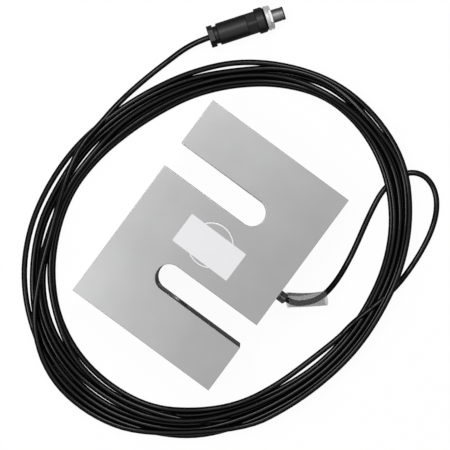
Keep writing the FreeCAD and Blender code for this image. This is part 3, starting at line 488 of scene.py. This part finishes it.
def seen_white(tree):
    """1 for the rays that see the background: camera, glossy and transmission rays."""
    path = tree.nodes.new("ShaderNodeLightPath")
    seen = maths(tree, "MAXIMUM", path.outputs["Is Camera Ray"], path.outputs["Is Glossy Ray"])
    return maths(tree, "MAXIMUM", seen, path.outputs["Is Transmission Ray"])


# ------------------------------------------------------------------ mesh helpers

def link(name, data):
    """A new object of the data, set in the scene."""
    piece = bpy.data.objects.new(name, data)
    bpy.context.scene.collection.objects.link(piece)
    return piece


def baked(piece):
    """Turns a piece with live modifiers into a plain mesh."""
    depsgraph = bpy.context.evaluated_depsgraph_get()
    mesh = bpy.data.meshes.new_from_object(piece.evaluated_get(depsgraph),
                                           preserve_all_data_layers=True, depsgraph=depsgraph)
    piece.modifiers.clear()
    piece.data = mesh
    return piece


def placed(piece, material, slot, body=ROOT, *nodes):
    """Gives a piece its finish, and lets it stand for its CAD nodes."""
    if material:
        piece.data.materials.clear()
        piece.data.materials.append(material)
    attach(piece, body)
    if nodes:
        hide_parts(*nodes)
    return piece


def rounded_copy(node, width, sharp=30.0, segments=2):
    """A copy of a CAD piece, merged, with its edges rounded that turn by more than sharp."""
    mesh = NODES[node].data.copy()
    solid = bmesh.new()
    solid.from_mesh(mesh)
    bmesh.ops.remove_doubles(solid, verts=solid.verts, dist=MERGE)
    bmesh.ops.dissolve_limit(solid, angle_limit=FLAT, verts=solid.verts, edges=solid.edges)
    solid.to_mesh(mesh)
    solid.free()
    piece = link(f"{node}_finished", mesh)
    if width:
        bevel = piece.modifiers.new("rounded_edges", "BEVEL")
        bevel.width = width
        bevel.segments = segments
        bevel.limit_method = "ANGLE"
        bevel.angle_limit = math.radians(sharp)
        bevel.use_clamp_overlap = True
    mesh.polygons.foreach_set("use_smooth", [True] * len(mesh.polygons))
    mesh.set_sharp_from_angle(angle=math.radians(sharp))
    weighted = piece.modifiers.new("even_shading", "WEIGHTED_NORMAL")
    weighted.keep_sharp = True
    return baked(piece)


def lay_finish(node, material):
    """Gives a CAD piece that keeps its own mesh another material."""
    for slot in NODES[node].material_slots:
        slot.material = material


# ------------------------------------------------------------------ the cable's line

def polar(radius, bearing):
    """A control point of the coil, moved out so that the smooth curve keeps the radius."""
    angle = math.radians(bearing)
    radius /= math.cos(math.radians(STEP / 2))
    return (COIL_CENTRE[0] + radius * math.cos(angle), COIL_CENTRE[1] + radius * math.sin(angle))


def lane_radius(lane, bearing):
    """A lane's radius at one of the rows' bearings."""
    return COIL_LANES[bearing // STEP % len(COIL_LANES)][lane]


def smooth(share):
    """Eases from 0 to 1."""
    share = min(1.0, max(0.0, share))
    return share * share * (3 - 2 * share)


def coil_radii():
    """Radii of the turns in the order in which the cable runs, one every STEP degrees."""
    turns = []
    last = len(LAY_ORDER) - 1
    for turn, lane in enumerate(LAY_ORDER):
        for bearing in range(JOIN_BEARING, JOIN_BEARING - 360, -STEP):
            entering = turn > 0 and bearing > JOIN_BEARING - CHANGE
            leaving = turn < last and bearing < JOIN_BEARING - 360 + CHANGE
            other = LAY_ORDER[turn + leaving - entering]
            past = JOIN_BEARING - bearing - 360 * leaving
            share = smooth(0.5 - abs(past) / (2 * CHANGE)) if entering or leaving else 0.0
            here, there = (lane_radius(choice, bearing) for choice in (lane, other))
            turns.append((here + (there - here) * share, bearing))
    return turns


def rest_height(spot, laid, radius):
    """How high a strand's centre comes to rest over the strands already laid at a bearing."""
    height = radius
    reach = 2 * radius * PACKING
    for other, level in laid:
        gap = abs(other - spot)
        if gap < reach:
            height = max(height, level + math.sqrt(reach ** 2 - gap ** 2))
    return height


def over_lead(x, y):
    """How far the coil is lifted where the cable's lead runs under it."""
    spot, start, end = Vector((x, y)), Vector(LEAD_ROUTE[-2][:2]), Vector(LOOP_ROUTE[1][:2])
    along = end - start
    share = min(1.0, max(0.0, (spot - start).dot(along) / along.length_squared))
    distance = (spot - start - along * share).length
    return LIFT * smooth(1 - distance / LIFT_REACH)


def coil_points(radius):
    """The coil's points in mm: in along the lane, seven turns, and out over the coil."""
    laid = {}

    def lay(spot, bearing, kept=True):
        level = rest_height(spot, laid.get(bearing % 360, ()), radius)
        x, y = polar(spot, bearing)
        level = max(level, radius + over_lead(x, y))
        if kept:
            laid.setdefault(bearing % 360, []).append((spot, level))
        return (x, y, level)

    turns = [lay(spot, bearing) for spot, bearing in coil_radii()]
    lead_in = [lay(spot, -STEP * k, kept=False) for k, spot in enumerate(LEAD_IN)]
    start = JOIN_BEARING - STEP
    lead_out = [lay(spot, start - STEP * k, kept=False) for k, spot in enumerate(LEAD_OUT)]
    points = lead_in + turns + lead_out
    for _ in range(EASINGS):
        levels = [point[2] for point in points]
        points = [(x, y, max(z, (levels[max(k - 1, 0)] + levels[min(k + 1, len(levels) - 1)]) / 2))
                  for k, (x, y, z) in enumerate(points)]
    return points


def cable_points(radius):
    """The whole cable from its gland to its plug, in metres."""
    points = list(LEAD_ROUTE) + list(LOOP_ROUTE) + coil_points(radius) + list(TAIL_ROUTE)
    return [Vector(point) * MM for point in points]


def nurbs_line(name, points, radius):
    """A smooth round cord with the points as its control points."""
    curve = bpy.data.curves.new(name, "CURVE")
    curve.dimensions = "3D"
    spline = curve.splines.new("NURBS")
    spline.points.add(len(points) - 1)
    for control, point in zip(spline.points, points):
        control.co = (*point, 1.0)
    spline.order_u = 3
    spline.use_endpoint_u = True
    curve.resolution_u = 6
    curve.bevel_depth = radius
    curve.bevel_resolution = 4
    curve.use_fill_caps = True
    return link(name, curve)


# ------------------------------------------------------------------ the clear sleeve

# The clear sleeve, in mm and degrees: the middle of its end beside the gland, its bearing and its
# fall, and how it departs from a straight flat tube.
SLEEVE_SIZE = (30.5, 11.6, 6.6)  # length, width and height
SLEEVE_START = (72.6, 1.5, 25.3)
SLEEVE_HEADING = 37.9
SLEEVE_FALL = 19.0
SLEEVE_STATIONS = 21
EDGE_STEP = 18  # between the points round its edges
LAP = 1.1  # how far it reaches back past its start
FLARE = 0.5  # how much wider it is at the gland
PINCH = 0.8  # how much flatter it is there
FOLD_DEPTH = 2.2
FOLD_HALF = 0.45
FOLD_TIP = 0.25
SLANT = 0.14  # slope of the cut at its far end
UPPER_SAG = 0.9  # how far its upper edge draws in between its ends
LOWER_SAG = 0.35
RIPPLE = 0.12
RIPPLE_WAVES = 2.55


def film_edge(flat, bend, angles):
    """Points round the film's +Y edge at these angles from its middle plane."""
    return [(flat + bend * math.cos(math.radians(angle)), bend * math.sin(math.radians(angle)))
            for angle in angles]


def film_loop(width, height, fold_depth):
    """A flattened tube's outline; the film is folded in along its +Y edge."""
    bend = height / 2
    flat = width / 2 - bend
    low = film_edge(flat, bend, range(-90, -EDGE_STEP, EDGE_STEP))
    high = film_edge(flat, bend, range(2 * EDGE_STEP, 91, EDGE_STEP))
    back = film_edge(flat, bend, range(-90, 91, EDGE_STEP))
    inner = low[-1][0] - fold_depth
    fold = [(inner, -FOLD_HALF), (inner - FOLD_TIP, 0.0), (inner, FOLD_HALF)]
    return low + fold + high + [(-side, -up) for side, up in back]


def film_station(share, length, width, height):
    """The film's outline at a share of its length, from its end beside the gland."""
    left = 1 - share
    sag = math.sin(math.pi * share)
    fold_depth = FOLD_DEPTH * smooth(1.15 - 1.25 * share)
    station = []
    for side, up in film_loop(width + FLARE * left ** 3, height - PINCH * left ** 2, fold_depth):
        aslant = -SLANT * side * smooth(2 * share - 1)
        along = -LAP + (length + LAP) * share + aslant
        aside = side - sag * (UPPER_SAG if side > 0 else LOWER_SAG)
        ripple = RIPPLE * math.sin(2 * math.pi * RIPPLE_WAVES * share + side)
        station.append((along, aside, up + ripple))
    return station


def film_mesh(length, width, height):
    """The sleeve: square at the gland, cut aslant at its far end, sagging between."""
    rows = [film_station(step / (SLEEVE_STATIONS - 1), length, width, height)
            for step in range(SLEEVE_STATIONS)]
    count = len(rows[0])
    faces = [(a * count + b, a * count + (b + 1) % count,
              (a + 1) * count + (b + 1) % count, (a + 1) * count + b)
             for a in range(len(rows) - 1) for b in range(count)]
    mesh = bpy.data.meshes.new("clear_sleeve_film")
    mesh.from_pydata([point for row in rows for point in row], [], faces)
    turn = (Matrix.Rotation(math.radians(SLEEVE_HEADING), 4, "Z")
            @ Matrix.Rotation(math.radians(SLEEVE_FALL), 4, "Y"))
    mesh.transform(Matrix.Scale(MM, 4) @ Matrix.Translation(SLEEVE_START) @ turn)
    mesh.polygons.foreach_set("use_smooth", [True] * len(mesh.polygons))
    return mesh


# ------------------------------------------------------------------ geometry nodes

def thread_tree():
    """A helical ridge inside a hole: a triangle swept along a spiral."""
    tree = bpy.data.node_groups.new("hole_thread", "GeometryNodeTree")
    tree.interface.new_socket("Geometry", in_out="INPUT", socket_type="NodeSocketGeometry")
    for title, default in (("Radius", 0.015), ("Pitch", 0.002), ("Length", 0.038),
                           ("Depth", 0.001)):
        socket = tree.interface.new_socket(title, in_out="INPUT", socket_type="NodeSocketFloat")
        socket.default_value = default
    tree.interface.new_socket("Material", in_out="INPUT", socket_type="NodeSocketMaterial")
    tree.interface.new_socket("Geometry", in_out="OUTPUT", socket_type="NodeSocketGeometry")
    entry = tree.nodes.new("NodeGroupInput")
    leave = tree.nodes.new("NodeGroupOutput")

    spiral = tree.nodes.new("GeometryNodeCurveSpiral")
    spiral.inputs["Resolution"].default_value = 64
    tree.links.new(maths(tree, "DIVIDE", entry.outputs["Length"], entry.outputs["Pitch"]),
                   spiral.inputs["Rotations"])
    for end in ("Start Radius", "End Radius"):
        tree.links.new(entry.outputs["Radius"], spiral.inputs[end])
    tree.links.new(entry.outputs["Length"], spiral.inputs["Height"])

    tilt = tree.nodes.new("GeometryNodeSetCurveNormal")
    tilt.mode = "Z_UP"
    tree.links.new(spiral.outputs["Curve"], tilt.inputs["Curve"])

    ridge = tree.nodes.new("GeometryNodeCurvePrimitiveCircle")
    ridge.inputs["Resolution"].default_value = 3
    tree.links.new(entry.outputs["Depth"], ridge.inputs["Radius"])
    sweep = tree.nodes.new("GeometryNodeCurveToMesh")
    tree.links.new(tilt.outputs["Curve"], sweep.inputs["Curve"])
    tree.links.new(ridge.outputs["Curve"], sweep.inputs["Profile Curve"])
    sweep.inputs["Fill Caps"].default_value = True
    realize = tree.nodes.new("GeometryNodeRealizeInstances")
    tree.links.new(sweep.outputs["Mesh"], realize.inputs["Geometry"])
    paint = tree.nodes.new("GeometryNodeSetMaterial")
    tree.links.new(realize.outputs["Geometry"], paint.inputs["Geometry"])
    tree.links.new(entry.outputs["Material"], paint.inputs["Material"])
    tree.links.new(paint.outputs["Geometry"], leave.inputs["Geometry"])
    return tree


def grown(name, tree, place, **inputs):
    """Runs a geometry tree on an empty mesh, then sets the result in place."""
    piece = link(name, bpy.data.meshes.new(name))
    modifier = piece.modifiers.new(name, "NODES")
    modifier.node_group = tree
    for item in tree.interface.items_tree:
        if item.in_out == "INPUT" and item.name in inputs:
            modifier[item.identifier] = inputs[item.name]
    baked(piece)
    piece.data.transform(place)
    return piece


# ------------------------------------------------------------------ operators

# The block's slot walls lie between these distances from its middle along Y, and clear of its side
# faces by this margin.
SLOT_NEAR, SLOT_FAR = 25 * MM, 52 * MM
SIDE_MARGIN = 0.5 * MM
HOLE_REACH = 16 * MM  # the loading holes' walls lie nearer to the holes' axis than this
UPRIGHT = 0.3  # an upright face's normal rises or falls by less than this
RIM_STEP = 0.08 * MM  # a disc's middle lies further below its rim than this


class LOADCELL_OT_block(bpy.types.Operator):
    """The steel block, its plated faces, and its slot walls with painted shade on the -Y side and painted light on
    the +Y side
    """
    bl_idname = "loadcell.block"
    bl_label = "Steel Block"

    def execute(self, context):
        settings = context.scene.loadcell_block
        plate = steel_finish(settings.steel)
        walls = painted_shade_wall_finish(settings.slot_steel_painted_shade)
        block = rounded_copy("load_cell_body", settings.edge, sharp=20.0)
        placed(block, plate, "nickel_plated_steel", ROOT, "load_cell_body")
        block.data.materials.append(walls)
        # The +Y slot's walls take the plate's colour lightened 1.9 times as painted light. The -Y slot's
        # near-black walls are painted shade.
        block.data.materials.append(painted_light_wall_finish(shade(settings.steel, 1.9)))
        for face in block.data.polygons:
            if self.is_slot_wall(block.data, face):
                face.material_index = 1 if face.center.y < 0 else 2
        return {"FINISHED"}

    @staticmethod
    def is_slot_wall(mesh, face):
        """Upright faces between the block's sides and its ends, less the loading holes' walls."""
        inside = (abs(face.center.x) < SIDE_FACE - SIDE_MARGIN
                  and SLOT_NEAR < abs(face.center.y) < SLOT_FAR)
        corners = [mesh.vertices[index].co for index in face.vertices]
        in_hole = all(math.hypot(spot.x, spot.z - MID_HEIGHT) < HOLE_REACH for spot in corners)
        return abs(face.normal.z) < UPRIGHT and inside and not in_hole


class LOADCELL_OT_threads(bpy.types.Operator):
    """The threads of the two loading holes"""
    bl_idname = "loadcell.threads"
    bl_label = "Loading Threads"

    def execute(self, context):
        settings = context.scene.loadcell_block
        tree = thread_tree()
        for mount in frame["record"]["mounts"]:
            if mount["kind"] != "threaded_hole":
                continue
            length = mount["dims"]["length_mm"] * MM - 2 * settings.thread_pitch
            axis = Vector(mount["axis"])
            turn = axis.to_track_quat("Z", "X").to_matrix().to_4x4()
            start = Vector(mount["pos_m"]) - axis * length / 2
            place = Matrix.Translation(start) @ turn
            ridge = grown(f"{mount['name']}_ridge", tree, place,
                          Radius=mount["dims"]["r_mm"] * MM, Pitch=settings.thread_pitch,
                          Length=length, Depth=settings.thread_depth,
                          Material=bpy.data.materials["satin_nickel"])
            placed(ridge, None, "nickel_plated_steel")
        return {"FINISHED"}


class LOADCELL_OT_covers(bpy.types.Operator):
    """The discs that close the gauge pockets, each with a turned rim lightened as a painted highlight"""
    bl_idname = "loadcell.covers"
    bl_label = "Cover Discs"

    def execute(self, context):
        rim = rim_highlight_finish()
        for node in ("front_cover", "rear_cover"):
            disc = rounded_copy(node, context.scene.loadcell_block.edge, sharp=20.0)
            placed(disc, bpy.data.materials["satin_nickel"], "cover_steel", ROOT, node)
            disc.data.materials.append(rim)
            low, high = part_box(node)
            outside = max(low.z, high.z, key=lambda level: abs(level - MID_HEIGHT))
            for face in disc.data.polygons:
                # The faces at the disc's outer level take the lightened rim colour, a painted highlight line.
                face.material_index = int(abs(face.center.z - outside) < RIM_STEP)
        return {"FINISHED"}


class LOADCELL_OT_label(bpy.types.Operator):
    """The blank film label"""
    bl_idname = "loadcell.label"
    bl_label = "Film Label"

    def execute(self, context):
        settings = context.scene.loadcell_block
        film = label_finish(settings.label)
        label = rounded_copy("type_label", settings.label_edge, sharp=60.0)
        placed(label, film, "label_film", ROOT, "type_label")
        return {"FINISHED"}


class LOADCELL_OT_inside(bpy.types.Operator):
    """The sealed pieces: gauges, board, potting, wires and contacts"""
    bl_idname = "loadcell.inside"
    bl_label = "Inner Pieces"

    def execute(self, context):
        potting = plain_finish("potting", (0.42, 0.40, 0.35), 0.45)
        foil = plain_finish("gauge_foil", (0.62, 0.34, 0.12), 0.35)
        laminate = plain_finish("board_laminate", (0.03, 0.20, 0.07), 0.4)
        chip = plain_finish("component_black", (0.02, 0.02, 0.02), 0.5)
        insulation = plain_finish("core_insulation", (0.45, 0.03, 0.02), 0.35)
        gold = plain_finish("contact_plating", (0.86, 0.62, 0.24), 0.22, 1.0)
        insert = plain_finish("insert_moulding", (0.03, 0.03, 0.032), 0.5)
        spring = plain_finish("spring_steel", (0.30, 0.30, 0.31), 0.3, 1.0)
        for material, nodes in (
                (potting, ("front_sealant", "rear_sealant")), (foil, ("strain_gauges",)),
                (laminate, ("bridge_board",)), (chip, ("trim_resistors",)),
                (insulation, ("signal_cores", "plug_cores")), (gold, ("contact_pins",)),
                (insert, ("contact_insert",)), (spring, ("ring_retainer",))):
            for node in nodes:
                lay_finish(node, material)
        return {"FINISHED"}


class LOADCELL_OT_gland(bpy.types.Operator):
    """The small hexagonal cable gland"""
    bl_idname = "loadcell.gland"
    bl_label = "Cable Gland"

    def execute(self, context):
        settings = context.scene.loadcell_cable
        metal = gland_finish(settings.gland)
        rubber = rubber_finish()
        for node in ("gland_body", "gland_nut"):
            piece = rounded_copy(node, settings.gland_edge, segments=3)
            placed(piece, metal, "gland_metal", ROOT, node)
        for node in ("gland_washer", "gland_seal", "plug_seal", "housing_oring"):
            lay_finish(node, rubber)
        return {"FINISHED"}


class LOADCELL_OT_cable(bpy.types.Operator):
    """The cable, from its gland through its coil to its plug"""
    bl_idname = "loadcell.cable"
    bl_label = "Cable"

    def execute(self, context):
        settings = context.scene.loadcell_cable
        radius = settings.diameter / 2
        cable = nurbs_line("cable", cable_points(radius / MM), radius)
        placed(cable, jacket_finish(settings.jacket), "cable_jacket", ROOT,
               "cable_lead", "cable_loop", "cable_coil", "cable_tail")
        return {"FINISHED"}


class LOADCELL_OT_sleeve(bpy.types.Operator):
    """The flattened clear sleeve over the cable beside the gland"""
    bl_idname = "loadcell.sleeve"
    bl_label = "Clear Sleeve"

    def execute(self, context):
        settings = context.scene.loadcell_cable
        film = film_finish(settings.film)
        sleeve = link("clear_sleeve_film", film_mesh(*SLEEVE_SIZE))
        wall = sleeve.modifiers.new("film_wall", "SOLIDIFY")
        wall.thickness = settings.film_wall
        wall.offset = 0.0
        placed(baked(sleeve), film, "clear_film", ROOT, "clear_sleeve")
        return {"FINISHED"}


class LOADCELL_OT_plug(bpy.types.Operator):
    """The plug's mouldings, its plated coupling ring and its barrel"""
    bl_idname = "loadcell.plug"
    bl_label = "Round Plug"

    def execute(self, context):
        settings = context.scene.loadcell_plug
        moulding = moulding_finish(settings.moulding)
        ring = turned_finish("plated_ring", settings.ring, roughness=0.55)
        barrel = turned_finish("barrel_metal", settings.barrel, roughness=0.5)
        gloss(barrel, ior=2.3, roughness=0.46, reach=52.0)
        for node in ("plug_rear_nut", "plug_housing", "plug_front_body"):
            piece = rounded_copy(node, settings.edge, segments=3)
            placed(piece, moulding, "plug_black", ROOT, node)
        for node in ("plug_clamp", "barrel_tip_ring"):
            lay_finish(node, moulding)
        nose = rounded_copy("plug_barrel", settings.barrel_edge)
        placed(nose, barrel, "barrel_metal", ROOT, "plug_barrel")
        coupling = rounded_copy("coupling_ring", settings.ring_edge, segments=3)
        placed(coupling, ring, "plated_ring", COUPLING, "coupling_ring")
        return {"FINISHED"}


class LOADCELL_OT_cord(bpy.types.Operator):
    """Does nothing; this step has no work of its own"""
    bl_idname = "loadcell.cord"
    bl_label = "Declare Cable"

    def execute(self, context):
        return {"FINISHED"}


LAMP_SIZE = 0.44
LAMP_ASIDE = 0.63  # how far aside of the block each lamp stands
LAMP_HEIGHT = 1.36
FLOOR_REACH = 3.0
FLOOR_LEVEL = -0.02 * MM  # a little below the object's underside, so that the two don't flicker
FLOOR_GLOW = 0.95  # how much of the floor that is seen glows white; the rest takes the shadow


class LOADCELL_OT_stage(bpy.types.Operator):
    """The white floor, the soft lamps and the camera straight above"""
    bl_idname = "loadcell.stage"
    bl_label = "Stage"

    def execute(self, context):
        settings = context.scene.loadcell_stage
        right = Vector((math.cos(settings.bearing), math.sin(settings.bearing), 0.0))
        up = Vector((-right.y, right.x, 0.0))
        self.make_floor()
        self.make_world(context, settings)
        self.make_camera(context, settings)
        for name, degrees in (("left_lamp", 195.0), ("key_lamp", 135.0), ("top_lamp", 75.0)):
            turn = math.radians(degrees)
            aside = (right * math.cos(turn) + up * math.sin(turn)) * LAMP_ASIDE
            self.make_lamp(name, settings.lamp, aside)
        context.scene.view_settings.view_transform = "Standard"
        return {"FINISHED"}

    @staticmethod
    def make_floor():
        """A white floor with the object's shadow, clear to a camera below it."""
        mesh = bpy.data.meshes.new("floor")
        mesh.from_pydata([(x * FLOOR_REACH, y * FLOOR_REACH, FLOOR_LEVEL)
                          for x, y in ((-1, -1), (1, -1), (1, 1), (-1, 1))], [], [(0, 1, 2, 3)])
        floor = link("floor", mesh)
        material = finish("floor_white", (0.92, 0.92, 0.92), roughness=0.9)
        tree = material.node_tree
        glow = tree.nodes.new("ShaderNodeEmission")
        glow.inputs["Strength"].default_value = 1.0
        mix = tree.nodes.new("ShaderNodeMixShader")
        tree.links.new(maths(tree, "MULTIPLY", seen_white(tree), FLOOR_GLOW), mix.inputs["Fac"])
        tree.links.new(principled(material).outputs["BSDF"], mix.inputs[1])
        tree.links.new(glow.outputs["Emission"], mix.inputs[2])
        side = tree.nodes.new("ShaderNodeNewGeometry")
        path = tree.nodes.new("ShaderNodeLightPath")
        from_below = maths(tree, "MULTIPLY", side.outputs["Backfacing"],
                           path.outputs["Is Camera Ray"])
        clear = tree.nodes.new("ShaderNodeBsdfTransparent")
        open_below = tree.nodes.new("ShaderNodeMixShader")
        tree.links.new(from_below, open_below.inputs["Fac"])
        tree.links.new(mix.outputs["Shader"], open_below.inputs[1])
        tree.links.new(clear.outputs["BSDF"], open_below.inputs[2])
        tree.links.new(open_below.outputs["Shader"],
                       tree.nodes["Material Output"].inputs["Surface"])
        floor.data.materials.append(material)

    @staticmethod
    def make_world(context, settings):
        world = bpy.data.worlds.new("studio")
        context.scene.world = world
        world.use_nodes = True
        tree = world.node_tree
        light = tree.nodes["Background"]
        light.inputs["Color"].default_value = (1.0, 1.0, 1.0, 1.0)
        strength = maths(tree, "MAXIMUM", seen_white(tree), settings.world)
        tree.links.new(strength, light.inputs["Strength"])

    @staticmethod
    def make_camera(context, settings):
        camera = bpy.data.cameras.new("camera")
        camera.sensor_width = 36.0
        camera.lens = camera.sensor_width * settings.camera_height / settings.frame_width
        camera.shift_x, camera.shift_y = settings.shift
        camera.clip_end = 20.0
        eye = link("camera", camera)
        eye.location = (*settings.eye, settings.camera_height)
        eye.rotation_euler = (0.0, 0.0, settings.bearing)
        context.scene.camera = eye

    @staticmethod
    def make_lamp(name, power, aside):
        """A round soft lamp that aims at the block."""
        lamp = bpy.data.lights.new(name, "AREA")
        lamp.shape = "DISK"
        lamp.size = LAMP_SIZE
        lamp.energy = power
        holder = link(name, lamp)
        holder.location = (aside.x, aside.y, LAMP_HEIGHT)
        aim = -holder.location
        holder.rotation_euler = aim.to_track_quat("-Z", "Y").to_euler()


class LOADCELL_PT_panel(bpy.types.Panel):
    """Lists the settings and the steps in order"""
    bl_idname = "LOADCELL_PT_panel"
    bl_label = "Load Cell"
    bl_space_type = "VIEW_3D"
    bl_region_type = "UI"
    bl_category = "Load Cell"

    def draw(self, context):
        for title, settings, operators in SECTIONS:
            section = self.layout.box()
            section.label(text=title)
            group = getattr(context.scene, settings)
            for name in group.__annotations__:
                section.prop(group, name)
            for operator in operators:
                section.operator(operator.bl_idname)


SETTINGS = {
    "loadcell_block": BlockSettings,
    "loadcell_cable": CableSettings,
    "loadcell_plug": PlugSettings,
    "loadcell_stage": StageSettings,
}
SECTIONS = (
    ("Block", "loadcell_block", (LOADCELL_OT_block, LOADCELL_OT_threads, LOADCELL_OT_covers,
                                 LOADCELL_OT_label, LOADCELL_OT_inside)),
    ("Cable", "loadcell_cable", (LOADCELL_OT_gland, LOADCELL_OT_cable, LOADCELL_OT_sleeve)),
    ("Plug", "loadcell_plug", (LOADCELL_OT_plug, LOADCELL_OT_cord)),
    ("Stage", "loadcell_stage", (LOADCELL_OT_stage,)),
)


def classes():
    operators = [operator for _, _, group in SECTIONS for operator in group]
    return [*SETTINGS.values(), *operators, LOADCELL_PT_panel]


def register():
    for item in classes():
        bpy.utils.register_class(item)
    for name, group in SETTINGS.items():
        setattr(bpy.types.Scene, name, PointerProperty(type=group))


def unregister():
    for name in SETTINGS:
        delattr(bpy.types.Scene, name)
    for item in reversed(classes()):
        bpy.utils.unregister_class(item)


def main():
    register()
    for make in (grain_group, lathe_group, dust_group):
        make()
    for _, _, operators in SECTIONS:
        for operator in operators:
            family, step = operator.bl_idname.split(".")
            getattr(getattr(bpy.ops, family), step)()


if __name__ == "__main__":
    main()
